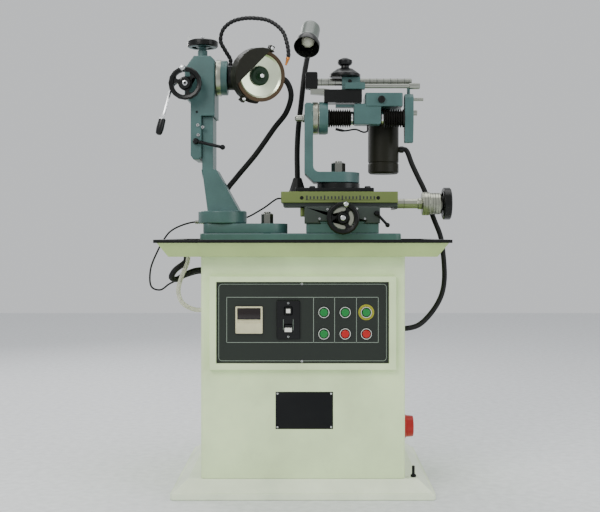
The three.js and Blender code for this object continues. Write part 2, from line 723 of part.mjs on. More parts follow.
function wheelSpindle() {
  const nose = turned([[spindleRadius, -60], [spindleRadius, gap], [wheel.hub, gap], [wheel.hub, 5],
    [wheel.hub - 4, 8], [14, 8], [14, 11]], "z", [0, 0, 0], 28);
  const bolt = hexagon(19, 9, "z", [0, 0, 10]);
  return onWheel(join(nose, bolt));
}
piece("wheel_spindle", wheelSpindle(), "black");

const motor = { radius: 38, front: -26.3, back: -150 };
const guard = { radius: 78, wall: 3, back: -26, front: 20, chord: 33, spread: 5 };
const guardUp = Math.PI * 0.828;
const chordUp = Math.PI * 0.76;
function wheelGuard() {
  const g = guard;
  const outer = turned([[g.radius - 2, g.back], [g.radius, g.back + 2], [g.radius, g.front - 2],
    [g.radius - 2, g.front]], "z", [0, 0, 0], 56);
  const inner = rod(g.radius - g.wall, g.front - g.back - 2 * g.wall, "z", [0, 0, g.back + g.wall], 56);
  const side = 200;
  const mouth = box(-side, g.chord, -side, side, g.front - g.wall - 1, g.front + 10);
  const lower = box(-side, g.spread, -side, side, g.back + g.wall, g.front + 10);
  mouth.rotateZ(chordUp);
  lower.rotateZ(guardUp);
  const bore = rod(18.6, 20, "z", [0, 0, g.back - 5], 32);
  const spare = box(-side, -46, -side, side, g.back - 5, g.front).rotateZ(guardUp);
  return onWheel(cut(outer, inner, mouth, lower, bore, spare));
}
piece("wheel_guard", wheelGuard(), "guard");

function grindingMotor() {
  const m = motor;
  const stations = [[17.5, guard.back + 2], [17.5, m.front], [m.radius - 2, m.front]];
  stations.push([m.radius, m.front - 2], [m.radius, -104]);
  const fin = { start: -106, pitch: 10, count: 3, root: 35 };
  for (let i = 0; i < fin.count; i++) {
    const z = fin.start - i * fin.pitch;
    stations.push([fin.root, z], [fin.root, z - 4], [m.radius, z - 4], [m.radius, z - 10]);
  }
  stations.push([m.radius, m.back + 8], [m.radius - 6, m.back]);
  stations.reverse();
  const body = turned(stations, "z", [0, 0, 0], 32);
  const gland = rod(9, 14, "x", [m.radius - 3, 0, glandDepth], fine);
  return onWheel(cut(join(body, gland), rod(spindleRadius + 3 * gap, 60, "z", [0, 0, -61], 28)));
}
piece("grinding_motor", grindingMotor(), "black");

function guardArm() {
  const stations = [[33, 0], [34.5, 1.5], [34.5, 22], [33, 24]];
  const disc = turned(stations, "x", [flange.right + gap, quill.y, quill.z], 36);
  const arm = box(flange.right + 10, -168, quill.y - 22, quill.y + 26, quill.z - 24, quill.z + 30);
  const band = onWheel(rod(motor.radius + 10, 40, "z", [0, 0, -122], 32));
  const bore = onWheel(rod(motor.radius + gap, 200, "z", [0, 0, -210], 32));
  const pinBore = rod(boreFor(8, small), 26, "x", [flange.right - 2, quill.y, quill.z], small);
  return cut(join(disc, arm, band), bore, pinBore);
}
piece("guard_arm", guardArm(), "guard");

// Segmented coolant hose: a ribbed tube with a bore, ending in a tapered nozzle.
function ribbedHose(route, rings, sides, bore, boreSteps) {
  const path = new THREE.CatmullRomCurve3(route.map((p) => new THREE.Vector3(...p)), false, "centripetal");
  const steps = rings.length - 1;
  const frames = path.computeFrenetFrames(steps, false);
  const positions = [];
  const faces = [];
  const circle = (t, frameIndex, radius) => {
    const centre = path.getPointAt(t);
    const first = positions.length / 3;
    for (let i = 0; i < sides; i++) {
      const angle = (i * 2 * Math.PI) / sides;
      const a = Math.cos(angle) * radius;
      const b = Math.sin(angle) * radius;
      const n = frames.normals[frameIndex];
      const s = frames.binormals[frameIndex];
      const out = n.clone().multiplyScalar(a).addScaledVector(s, b).add(centre);
      positions.push(out.x, out.y, out.z);
    }
    return first;
  };
  const bridge = (a, b) => {
    for (let i = 0; i < sides; i++) {
      const next = (i + 1) % sides;
      faces.push(a + i, a + next, b + next, a + i, b + next, b + i);
    }
  };
  const outside = rings.map((radius, i) => circle(i / steps, i, radius));
  const inside = [];
  for (let i = 0; i <= boreSteps; i++) {
    inside.push(circle(i / boreSteps, Math.round((i * steps) / boreSteps), bore));
  }
  for (let i = 0; i < steps; i++) bridge(outside[i], outside[i + 1]);
  for (let i = 0; i < boreSteps; i++) bridge(inside[i + 1], inside[i]);
  bridge(inside[0], outside[0]);
  bridge(outside[steps], inside[boreSteps]);
  const geometry = new THREE.BufferGeometry();
  geometry.setAttribute("position", new THREE.Float32BufferAttribute(positions, 3));
  geometry.setIndex(faces);
  return geometry;
}

const coolantRoute = fromBed([
  [-209.8, -42.5, 481.3], [-209.8, -43.5, 499], [-224, -52, 524], [-236, -62, 548], [-229, -74, 578],
  [-205, -84, 598], [-170, -96, 606], [-130, -108, 604], [-94, -120, 594], [-59, -135, 564], [-46, -146, 530], [-41, -152, 492],
  [-48, -152, 465],
]);
function coolantHose() {
  const ribs = 34;
  const rings = [];
  for (let i = 0; i < ribs; i++) rings.push(6.25, 5);
  rings.push(5.2, 3, 2.6);
  return ribbedHose(coolantRoute, rings, 8, 1.9, 8);
}
piece("coolant_hose", coolantHose(), "black");

// Cable of the grinding motor, from its gland down behind the post into the bed.
const motorCableRoute = fromBed([
  [-100.5, -55.8, 447.4], [-80, -46.8, 448], [-52, -34, 441], [-36, -16, 405], [-50, 6, 355],
  [-85, 24, 311], [-142, 46, 234], [-200, 52, 165],
  [cableGland.x, cableGland.y, cableGland.rise + 23], [cableGland.x, cableGland.y, cableGland.rise + gap],
]);
piece("motor_cable", tube(motorCableRoute, 8, 8, 20), "black");

// Right side: cross slide, saddle and long table, each on a dovetail.
const slideBase = { left: 8, right: 213, front: -105, back: 110, top: bed.top + slab };
const saddle = { left: 3, right: 216, front: -110, back: 90, top: slideBase.top + 47 };
const lowTail = { x0: 50, x1: 170, flare: 7, top: slideBase.top + 6 };
const highTail = { y0: -62, y1: 22, flare: 7, top: saddle.top + 8 };
const slip = 0.4;
const crossScrew = { x: 110, z: lowTail.top + 8, front: -143 };
const saddleClamp = { x: 206, z: slideBase.top + 28 };
function tailOutline(a0, a1, flare, low, high, clear) {
  return outline([
    [a0 - clear, low - clear], [a1 + clear, low - clear],
    [a1 + flare + 2 * clear, high + clear], [a0 - flare - 2 * clear, high + clear],
  ]);
}
function crossSlideBase() {
  const b = slideBase;
  const body = roundedBox(b.left, b.right, b.front, b.back, bed.top + gap, b.top, 6, 1);
  const dovetail = tailOutline(lowTail.x0, lowTail.x1, lowTail.flare, b.top - 0.5, lowTail.top, 0);
  const tail = upright(dovetail, b.front, b.back);
  return join(body, tail);
}
piece("cross_slide_base", crossSlideBase(), "casting");

function saddleCasting() {
  const s = saddle;
  const body = roundedBox(s.left, s.right, s.front, s.back, slideBase.top + gap, s.top, 5, 1);
  const gib = box(s.left - 12, s.left + 1, -70, 40, s.top - 26, s.top - 2);
  const groove = tailOutline(lowTail.x0, lowTail.x1, lowTail.flare, slideBase.top, lowTail.top, slip);
  const channel = upright(groove, s.front - 5, s.back + 5);
  const dovetail = tailOutline(highTail.y0, highTail.y1, highTail.flare, s.top - 0.5, highTail.top, 0);
  const tail = facing(dovetail, s.left, s.right);
  const screwBore = rod(boreFor(5.8, fine), 60, "y", [crossScrew.x, s.front - 5, crossScrew.z], fine);
  const clampBore = rod(boreFor(5, fine), 40, "y", [saddleClamp.x, s.front - 10, saddleClamp.z], fine);
  return cut(join(body, gib, tail), channel, screwBore, clampBore);
}
piece("saddle", saddleCasting(), "casting");

function crossWheel() {
  const at = [crossScrew.x, crossScrew.front, crossScrew.z];
  const options = { turn: 0.45, knob: -1.77, shaft: 5.8, reach: 66, flip: true };
  const wheelPart = handWheel(46, 17, "y", at, 15, options);
  const drum = turned([[22, 0], [24, 2], [24, 26], [22, 28]], "y", [at[0], at[1] - 2, at[2]], 28);
  return join(wheelPart, drum);
}
piece("cross_wheel", crossWheel(), "black");
const saddleLeverAt = [saddleClamp.x, saddle.front - 2 - gap, saddleClamp.z];
const saddleLeverTip = [saddleClamp.x + 29, -130, saddleClamp.z - 33];
piece("saddle_clamp_lever", clampLever(saddleLeverAt, saddleLeverTip, 8), "black");

const table = {
  left: -63, right: 267, front: -100, back: 60, low: saddle.top + 11, top: saddle.top + 43,
};
const tableScrew = { y: -20, z: table.low };
function tableBody() {
  const t = table;
  const bar = roundedBox(t.left, t.right, t.front, t.back, t.low, t.top, 3, 1);
  const rail = box(t.left + 6, t.right, t.front + 12, t.back - 12, saddle.top + gap, t.low + 1);
  const end = box(t.right - 9, t.right, t.front + 20, t.back - 20, t.low - 17, t.top - 4);
  const groove = tailOutline(highTail.y0, highTail.y1, highTail.flare, saddle.top, highTail.top, slip);
  const channel = facing(groove, t.left - 5, t.right - 8);
  const slot = box(t.left - 5, t.right + 20, t.back - 24, t.back - 16, t.top - 8, t.top + 5);
  const bore = rod(boreFor(6, fine), 40, "x", [t.right - 14, tableScrew.y, tableScrew.z], fine);
  return cut(join(bar, rail, end), channel, slot, bore);
}

const sleeve = { left: table.right - 1, right: table.right + 75, radius: 14.5, collar: 17, bore: 6.9 };
function screwSleeve() {
  const length = sleeve.right - sleeve.left;
  const stations = [
    [sleeve.bore, 0], [sleeve.radius, 0], [sleeve.radius, length - 12], [sleeve.collar, length - 10],
    [sleeve.collar, length], [sleeve.bore, length],
  ];
  return ring(stations, "x", [sleeve.left, tableScrew.y, tableScrew.z], 24);
}
piece("table", join(tableBody(), screwSleeve()), "khaki");

const tableWheelSize = { radius: 46.5, thick: 24, hub: 16, shaft: 6, reach: 128, stand: 60 };
const drumStations = [[31, 0], [34, 2], [34, 22], [31, 23], [31, 52], [28, 56], [20, 57], [20, 62]];
function tableWheel() {
  const x = sleeve.right + gap;
  const w = tableWheelSize;
  const at = [x + w.stand, tableScrew.y, tableScrew.z];
  const wheelPart = handWheel(w.radius, w.thick, "x", at, w.hub, { turn: 0.4, shaft: w.shaft, reach: w.reach });
  const drum = turned(drumStations, "x", [x, tableScrew.y, tableScrew.z], 40);
  return join(wheelPart, drum);
}
piece("table_wheel", tableWheel(), "steel");

const plateTop = table.top + 11;
const ringTop = plateTop + 16;
function swivelPlate() {
  const low = table.top + gap;
  const wide = roundedBox(12, 200, -92, 30, low, plateTop, 4, 1);
  const narrow = roundedBox(-23, 30, -92, -2, low, plateTop, 4, 1);
  const bore = rod(studRadius + gap, 30, "z", [slideAxis.x, slideAxis.y, low - 5]);
  const screws = [];
  for (const x of [25, 183]) {
    screws.push(turned([[9, 0], [9, 4], [7, 6]], "z", [x, -70, plateTop - 0.5], small));
  }
  return cut(join(wide, narrow, ...screws), bore);
}

function scaleRing() {
  const stations = [[46, 0], [62, 0], [62, 15.2], [61, 15.9], [46, 15.9]];
  return ring(stations, "z", [slideAxis.x, slideAxis.y, plateTop - 0.5], 36);
}
piece("swivel_plate", join(swivelPlate(), scaleRing()), "black");

// Swivelling bracket: an L of cast metal with a rounded heel and a chamfered toe.
const bracket = {
  left: 3, right: 162, foot: ringTop + 2 * gap, top: ringTop + 30, arm: 28, armTop: armHeight + 41,
  radius: 61,
};
function bracketCasting() {
  const b = bracket;
  const fillet = 17;
  const side = new THREE.Shape();
  side.moveTo(b.left + 26, b.foot);
  side.lineTo(b.right, b.foot);
  side.lineTo(b.right, b.top);
  side.lineTo(b.arm + fillet, b.top);
  side.absarc(b.arm + fillet, b.top + fillet, fillet, -Math.PI / 2, Math.PI, true);
  side.lineTo(b.arm - 1, b.armTop - 6);
  side.lineTo(b.arm - 6, b.armTop);
  side.lineTo(b.left + 5, b.armTop);
  side.lineTo(b.left, b.armTop - 6);
  side.lineTo(b.left, b.foot + 26);
  const body = upright(side, slideAxis.y - b.radius, slideAxis.y + b.radius);
  const plan = new THREE.Shape();
  plan.moveTo(b.left - 5, slideAxis.y - b.radius);
  plan.lineTo(slideAxis.x, slideAxis.y - b.radius);
  plan.absarc(slideAxis.x, slideAxis.y, b.radius, -Math.PI / 2, Math.PI / 2);
  plan.lineTo(b.left - 5, slideAxis.y + b.radius);
  const heel = raised(plan, b.foot - 5, b.armTop + 5, 0, 14);
  const wide = { foot: slideAxis.y - b.radius - 5, back: slideAxis.y + b.radius + 5 };
  const taperFront = facing(outline([
    [wide.foot, b.top + 27], [slideAxis.y - 38, b.armTop + 5], [wide.foot, b.armTop + 5]]), -40, 80);
  const taperBack = facing(outline([
    [wide.back, b.top + 27], [wide.back, b.armTop + 5], [slideAxis.y + 38, b.armTop + 5]]), -40, 80);
  const stemBore = rod(boreFor(studRadius, small), 60, "z", [slideAxis.x, slideAxis.y, b.foot - 5]);
  const shaftBore = rod(boreFor(10, 24), 60, "x", [b.left - 10, slideAxis.y, armHeight], 24);
  return cut(shared(body, heel), taperFront, taperBack, stemBore, shaftBore);
}
const bracketNut = { x: slideAxis.x, y: slideAxis.y };
piece("bracket_nut", stud(bracketNut, bracket.top + 30, 41, table.top + 2 * gap), "black");

// Tilting arm with its shaft, stop housing and the left clamp of the graduated bar.
const bar = { y: slideAxis.y, z: armHeight + 105, radius: 10.5, left: 8, right: 313 };
const housing = {
  left: 59, right: 168, front: slideAxis.y - 30, back: slideAxis.y + 30,
  low: armHeight + 43, top: armHeight + 80,
};
const shaftRadius = 12;
const endPlate = { left: 292, right: 317 };
const nutEndStations = [[5, 0], [8.5, 3], [9.5, 8], [9.5, 22], [12, 23], [12, 27.5]];
function tiltArm() {
  const y = slideAxis.y;
  const z = armHeight;
  const nutEnd = turned(nutEndStations, "x", [-25, y, z], 24);
  const shaft = rod(10, 50, "x", [0, y, z], 24);
  const hub = turned([[46, 0], [47.5, 1.5], [47.5, 20], [45, 27.4], [20, 28]], "x", [43 + gap, y, z], 40);
  const guide = rod(shaftRadius, endPlate.right - 72, "x", [70, y, z], 24);
  const cover = box(housing.left, housing.right, housing.front, housing.back, housing.low, housing.top);
  const link = upright(outline([
    [20, housing.top - 10], [20, housing.top + 5], [60, housing.top + 5], [92, housing.top],
    [92, housing.top - 15], [60, housing.top - 13]]), bar.y - 14, bar.y + 14);
  const clamp = upright(
    roundedOutline(6, 41, bar.z - 21, bar.z + 27, 5), bar.y - 20, bar.y + 16, 1.5);
  return join(shaft, nutEnd, hub, guide, cover, link, clamp);
}

const tiltBore = boreFor(10, 24);
const tiltDial = ring([[tiltBore, 0], [46, 0], [47.5, 2], [47.5, 16], [46, 17.4], [tiltBore, 17.4]], "x",
  [bracket.arm - 3, slideAxis.y, armHeight], 36);
piece("bracket", join(bracketCasting(), tiltDial), "casting");
const graduatedBar = rod(bar.radius, bar.right - bar.left, "x", [bar.left, bar.y, bar.z], 20);

// End bracket of the arm: a tall plate with a hanging tail, a pin and a cap screw.
function endBracket() {
  const y = slideAxis.y;
  const z = armHeight;
  const plate = facing(outline([
    [y - 24, z - 11], [y - 12, z - 71], [y + 12, z - 71], [y + 24, z - 11], [y + 24, z + 57],
    [y + 12, z + 69], [y - 12, z + 69], [y - 24, z + 57]]), endPlate.left, endPlate.right, 1);
  const pin = rod(5, 50, "x", [endPlate.left + 5, y, z + 55], fine);
  const screw = rod(8, 14, "x", [endPlate.right - 2, y, armHeight + 16], fine);
  const post = rod(5, bar.z - z - 59, "z", [endPlate.left + 12, y, z + 59], fine);
  return join(plate, pin, screw, post);
}
piece("tilt_arm", join(tiltArm(), graduatedBar, endBracket()), "black");

// Carriage on the arm's shaft, its motor hung behind, and a bellows on each side.
const carriage = {
  left: 145, right: 223, low: armHeight - 20, top: armHeight + 40,
  front: slideAxis.y - 26, back: slideAxis.y + 26,
};
const shelf = { left: 178, right: 286, front: -48, back: 104, low: armHeight + 32, top: armHeight + 71 };
function carriageBlock() {
  const c = carriage;
  const low = upright(roundedOutline(c.left, c.right, c.low, c.top, 6), c.front, c.back, 2, 3);
  const high = roundedBox(shelf.left, shelf.right, shelf.front, shelf.back, shelf.low, shelf.top, 6, 1.5);
  const tongue = box(93, shelf.left + 4, c.front + 10, c.back - 10, c.top - 9, c.top - 1);
  const screw = turned([[11, 0], [11, 10], [3, 11]], "y", [0, 0, 0], small).rotateX(Math.PI);
  screw.translate(224, shelf.front + 1, shelf.low + 19);
  const bore = rod(shaftRadius + gap, 100, "x", [c.left - 10, slideAxis.y, armHeight], 24);
  return cut(join(low, high, tongue, screw), bore);
}
piece("carriage", carriageBlock(), "casting");

const hungMotor = { x: 237, y: 56, radius: 45.5, seam: 2, gland: 8, glandDrop: 116 };
function hangingMotor() {
  const m = hungMotor;
  const at = [m.x, m.y, shelf.low];
  const drop = armRise - 144;
  const stations = [
    [m.radius - 5, -drop], [m.radius, -drop + 5], [m.radius, -drop + 30], [m.radius - m.seam, -drop + 31],
    [m.radius - m.seam, -drop + 34], [m.radius, -drop + 35], [m.radius, -14], [m.radius - 6, -8], [20, -8], [20, -gap],
  ];
  const body = turned(stations, "z", at, 28);
  return join(body, rod(m.gland, 10, "x", [m.x + m.radius - 3, m.y, shelf.low - m.glandDrop], fine));
}
piece("carriage_motor", hangingMotor(), "guard");

function bellows(left, right, folds, outer, valley) {
  const stations = [[shaftRadius + 1.8, 0], [outer - 2, 0], [outer - 2, 4]];
  const length = right - left;
  const pitch = (length - 8) / folds;
  for (let i = 0; i < folds; i++) {
    stations.push([valley, 4 + pitch * (i + 0.25)], [outer, 4 + pitch * (i + 0.75)]);
  }
  stations.push([outer - 2, length - 4], [outer - 2, length]);
  stations.push([shaftRadius + 1.8, length]);
  return ring(stations, "x", [left, slideAxis.y, armHeight], 20);
}
const boot = { outer: 27, valley: 20, left: 71.9 };
piece("bellows_left", bellows(boot.left, carriage.left - gap, 9, boot.outer, boot.valley), "black");
piece("bellows_right", bellows(carriage.right + gap, endPlate.left - gap, 8, boot.outer, boot.valley), "black");

// Slider on the graduated bar, with its stop rod and clamp knob.
const slider = { left: 111, right: 164, front: -38, back: -2, low: housing.top + gap, top: bar.z + 13 };
function sliderBlock() {
  const s = slider;
  const body = upright(roundedOutline(s.left, s.right, s.low, s.top, 3), s.front, s.back, 1, 3);
  const lug = box(s.left + 8, s.right + 12, s.front - 22, s.front + 4, s.low, s.low + 18);
  const rodEnd = [[6.5, 0], [6.5, 130], [9, 132], [9, 160], [7, 162]];
  const stop = turned(rodEnd, "x", [172, s.front - 11, s.low + 9], small);
  const bore = rod(bar.radius + 2 * gap, 80, "x", [s.left - 10, bar.y, bar.z], 20);
  return cut(join(body, lug, stop), bore);
}
piece("slider_block", sliderBlock(), "black");

const knobStations = [
  [42, 0], [45, 2], [45, 9], [40, 13], [24, 24], [13, 27], [12, 33], [19, 37], [21.5, 43], [21, 50], [8, 56],
];
const knobX = slider.left + 9;
function thumbKnob() {
  return turned(knobStations, "z", [knobX, bar.y, slider.top + gap], 28);
}
piece("thumb_knob", thumbKnob(), "black");

// Work lamp: a cone foot and bent neck on the table, and a bell with its bulb.
const lampFoot = { x: -18, y: 30 };
const lampHinge = { x: 20, y: 58, z: armHeight + 243 };
const lampNeckEnd = { low: table.top + 43, high: lampHinge.z - 12 };
const lampRoute = [
  [-18, 30, 0], [-19, 30, 0.2], [-15, 28, 0.3825], [-8, 24, 0.5275], [-2, 26, 0.67], [4, 36, 0.795],
  [12, 50, 0.9075], [20, 57, 1],
].map(([x, y, share]) => [x, y, lampNeckEnd.low + share * (lampNeckEnd.high - lampNeckEnd.low)]);
const lampCap = new THREE.Vector3(22, 8, lampHinge.z + 28);
const lampAim = new THREE.Vector3(-15, -80, -84).normalize();
const coneStations = [[27.5, 0], [27.5, 4], [24, 10], [13, 44], [9, 46]];
function lampNeck() {
  const f = lampFoot;
  const low = table.top + gap;
  const cone = turned(coneStations, "z", [f.x, f.y, low], 24);
  const knuckle = rod(8, 12, "x", [lampHinge.x - 12.3, lampHinge.y, lampHinge.z], small);
  const fork = tube([[16, 54, lampHinge.z - 34], [14, 57, lampHinge.z - 6]], 5, 8, 2);
  return join(cone, tube(lampRoute, 8, 8, 14), knuckle, fork);
}
piece("lamp_neck", lampNeck(), "black");

function lampPlaced(geometry) {
  const turn = new THREE.Quaternion().setFromUnitVectors(new THREE.Vector3(0, 0, 1), lampAim);
  return geometry.applyQuaternion(turn).translate(lampCap.x, lampCap.y, lampCap.z);
}

const bellStations = [
  [9, -12], [11, -12], [11, -2], [20, 0], [26, 6], [28, 14], [28, 60], [31, 72], [37, 86], [37, 102], [34, 102],
  [34, 88], [28, 74], [25, 61], [25, 15], [21, 9], [9, 4],
];
const bellRoom = { radius: 26, length: 80, start: 8 };
const lampLug = { width: 8, front: 20, behind: 6, half: 7 };
function lampShade() {
  const bell = ring(bellStations, "z", [0, 0, 0], 32);
  const h = lampHinge;
  const l = lampLug;
  const lug = box(h.x, h.x + l.width, l.front, h.y + l.behind, h.z - l.half, h.z + l.half);
  const solidBell = lampPlaced(rod(bellRoom.radius, bellRoom.length, "z", [0, 0, bellRoom.start], 20));
  return join(lampPlaced(bell), cut(lug, solidBell));
}
piece("lamp_shade", lampShade(), "casting");
const bulbStations = [[8.5, -10], [8.5, 24], [12, 34], [19, 52], [21, 66], [18, 79], [8, 86]];
piece("lamp_bulb", lampPlaced(turned(bulbStations, "z", [0, 0, 0], 20)), "white");

// Hoses and cables that hang free.
const rightRoute = fromBed([
  [289.8, 56, 249], [303, 56, 248.8], [322, 54, 205], [340, 52, 166], [359, 50, 126], [384, 50, 49], [405, 50, -5],
  [412, 50, -43],
  [415, 32, -136], [402, 14, -186], [370, -8, -233], [332, -34, -264], [298, -50, -272], [272.4, -50, -272],
]);
piece("motor_supply_hose", tube(rightRoute, 7.5, 8, 24), "black");
const drainRoute = fromBed([
  [-325, -135, -62.2], [-326, -135, -77], [-357, -136, -103], [-368, -126, -123], [-356, -112, -129],
  [-331, -104, -115], [-300, -100, -104], [-272.4, -100, -104],
]);
piece("drain_hose", tube(drainRoute, 8, 8, 12), "black");
const clearRoute = fromBed([
  [-316, -170, -62.2], [-317, -170, -77], [-337, -174, -129], [-343, -170, -162], [-332, -160, -193],
  [-300, -150, -211], [-272.4, -150, -211],
]);
piece("clear_tube", tube(clearRoute, 6, 8, 14), "clear");
const lampCableRoute = fromBed([
  [-63.5, 20, 102], [-76, 20, 102], [-120, 47, 74], [-170, 52, 47], [-206, 53, 39], [-260, 54, 35],
  [-329, 54, 33], [-368, 44, 21], [-392, 20, 5], [-404, 0, -13], [-421, -20, -48], [-440, -40, -105],
  [-434, -58, -153], [-408, -68, -161], [-376, -78, -141], [-300, -82, -113], [-272.4, -82, -113],
]);
piece("lamp_cable", tube(lampCableRoute, 2.5, 8, 46), "black");
export default machine;
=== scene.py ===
import bpy
import bmesh
import json
import math
from mathutils import Vector, Matrix

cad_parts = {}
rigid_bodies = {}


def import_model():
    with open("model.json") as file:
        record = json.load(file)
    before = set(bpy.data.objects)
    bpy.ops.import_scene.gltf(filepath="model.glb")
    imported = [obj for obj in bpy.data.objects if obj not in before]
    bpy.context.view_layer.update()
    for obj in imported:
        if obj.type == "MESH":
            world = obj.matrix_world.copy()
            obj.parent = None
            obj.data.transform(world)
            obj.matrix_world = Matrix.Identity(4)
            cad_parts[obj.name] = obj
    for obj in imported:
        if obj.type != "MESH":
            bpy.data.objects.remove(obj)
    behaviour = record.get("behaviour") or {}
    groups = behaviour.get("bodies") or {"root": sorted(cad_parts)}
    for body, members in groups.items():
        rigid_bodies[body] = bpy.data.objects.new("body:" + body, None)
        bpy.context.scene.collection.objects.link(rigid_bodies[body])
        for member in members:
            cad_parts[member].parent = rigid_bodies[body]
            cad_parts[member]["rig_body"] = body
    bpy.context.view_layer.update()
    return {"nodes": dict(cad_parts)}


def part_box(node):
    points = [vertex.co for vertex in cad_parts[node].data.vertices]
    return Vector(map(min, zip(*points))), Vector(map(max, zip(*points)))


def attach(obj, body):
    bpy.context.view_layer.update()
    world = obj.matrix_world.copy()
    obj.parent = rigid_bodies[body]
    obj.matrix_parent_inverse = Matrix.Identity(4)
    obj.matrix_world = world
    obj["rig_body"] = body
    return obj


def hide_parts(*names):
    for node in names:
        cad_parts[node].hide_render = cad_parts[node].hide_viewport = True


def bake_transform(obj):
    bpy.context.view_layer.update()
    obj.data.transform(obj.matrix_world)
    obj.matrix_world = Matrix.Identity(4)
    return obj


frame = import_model()
nodes = frame["nodes"]
scene = bpy.context.scene
mm = 0.001
print("frame loaded:", len(nodes), "nodes")

# camera at the photographer's place, and the studio lights
view = {"place": (0.016, -2.940, 0.698), "lens": 60.48, "shiftX": -0.015, "shiftY": -0.036}
cameraData = bpy.data.cameras.new("shopCamera")
cameraData.lens = view["lens"]
cameraData.sensor_width = 36
cameraData.shift_x = view["shiftX"]
cameraData.shift_y = view["shiftY"]
cameraData.clip_end = 60
camera = bpy.data.objects.new("shopCamera", cameraData)
camera.location = view["place"]
camera.rotation_euler = (math.pi / 2, 0, 0)
scene.collection.objects.link(camera)
scene.camera = camera


def softLight(name, place, target, size, power, tint=(1, 1, 1)):
    data = bpy.data.lights.new(name, "AREA")
    data.shape = "RECTANGLE"
    data.size, data.size_y = size
    data.energy = power
    data.color = tint
    light = bpy.data.objects.new(name, data)
    light.location = place
    light.rotation_euler = (Vector(target) - Vector(place)).to_track_quat("-Z", "Y").to_euler()
    scene.collection.objects.link(light)


softLight("keyLight", (-1.5, -2.6, 2.7), (0, 0, 0.8), (1.6, 1.6), 62, (1, 0.985, 0.96))
softLight("fillLight", (2.6, -1.7, 1.6), (0, 0, 0.8), (1.8, 2.2), 30, (0.95, 0.98, 1))
softLight("topLight", (0.2, 0.3, 3.3), (0, 0, 0.9), (2.4, 2.0), 34)
softLight("backLight", (-1.6, 2.4, 2.2), (0, 0, 0.9), (1.8, 1.6), 30)
world = bpy.data.worlds.new("paleRoom")
scene.world = world
world.use_nodes = True
background = world.node_tree.nodes["Background"].inputs
background["Color"].default_value = (0.93, 0.95, 0.97, 1)
background["Strength"].default_value = 0.75


# Shader sockets that can be added, multiplied and compared like numbers.
class Signal:
    def __init__(self, shader, socket):
        self.shader = shader
        self.socket = socket

    def combine(self, operation, a, b):
        return self.shader.node("ShaderNodeMath", {"operation": operation}, {0: a, 1: b})

    def __add__(self, other): return self.combine("ADD", self, other)
    def __radd__(self, other): return self.combine("ADD", other, self)
    def __sub__(self, other): return self.combine("SUBTRACT", self, other)
    def __mul__(self, other): return self.combine("MULTIPLY", self, other)
    def __gt__(self, other): return self.combine("GREATER_THAN", self, other)


class Finish:
    def __init__(self, name, metallic=0.0, **constants):
        self.material = bpy.data.materials.new(name)
        self.material.use_nodes = True
        self.tree = self.material.node_tree
        self.shader = self.tree.nodes["Principled BSDF"]
        self.shader.inputs["Metallic"].default_value = metallic
        for key, value in constants.items():
            self.shader.inputs[key.replace("_", " ")].default_value = value
        self.place = self.node("ShaderNodeTexCoord", {}, {}, "Object")

    def node(self, kind, settings, values, output=0):
        made = self.tree.nodes.new(kind)
        for key, value in settings.items():
            setattr(made, key, value)
        for key, value in values.items():
            if isinstance(value, Signal):
                self.tree.links.new(value.socket, made.inputs[key])
            else:
                made.inputs[key].default_value = value
        return Signal(self, made.outputs[output])

    def noise(self, scale, detail=3.0, roughness=0.55, place=None):
        return self.node("ShaderNodeTexNoise", {}, {
            "Vector": place or self.place, "Scale": scale, "Detail": detail, "Roughness": roughness}, "Fac")

    def stretched(self, scale):
        return self.node("ShaderNodeMapping", {}, {"Vector": self.place, "Scale": scale}, "Vector")

    def ramp(self, fac, stops):
        made = self.node("ShaderNodeValToRGB", {}, {"Fac": fac}, "Color")
        for element, (at, colour) in zip(made.socket.node.color_ramp.elements, stops):
            element.position = at
            element.color = (*colour, 1)
        return made

    def mix(self, fac, a, b):
        return self.node("ShaderNodeMix", {"data_type": "RGBA"}, {0: fac, 6: a, 7: b}, 2)

    def set(self, socket, value):
        self.tree.links.new(value.socket, self.shader.inputs[socket])

    def bump(self, height, strength, distance):
        self.set("Normal", self.node("ShaderNodeBump", {}, {
            "Height": height, "Strength": strength, "Distance": distance}, "Normal"))


def tone(hexCode):
    channels = [int(hexCode[i:i + 2], 16) / 255 for i in (0, 2, 4)]
    return tuple(c / 12.92 if c < 0.04045 else ((c + 0.055) / 1.055) ** 2.4 for c in channels)


def shade(colour, factor):
    return tuple(min(1, c * factor) for c in colour)


def enamel(name, hexCode, rough=0.36, peel=0.1, coat=0.25):
    # sprayed paint: orange peel, cloudy tone, a little dust in the hollows of the noise
    made = Finish(name, Coat_Roughness=0.25, Coat_Weight=coat)
    base = tone(hexCode)
    cloud = made.noise(7, 4)
    speck = made.noise(160, 2)
    body = made.ramp(cloud, [(0.3, shade(base, 0.88)), (0.7, shade(base, 1.08))])
    dirt = (made.noise(22, 6, 0.7) > 0.62) * made.noise(60, 3) * 0.1
    body = made.mix(dirt, body, (*shade(base, 0.45), 1))
    made.set("Base Color", body)
    made.set("Roughness", rough + cloud * 0.12 - 0.06 + dirt * 0.4)
    made.bump(made.noise(420, 2) * 0.6 + speck * 0.4, peel, 0.0006)
    return made.material


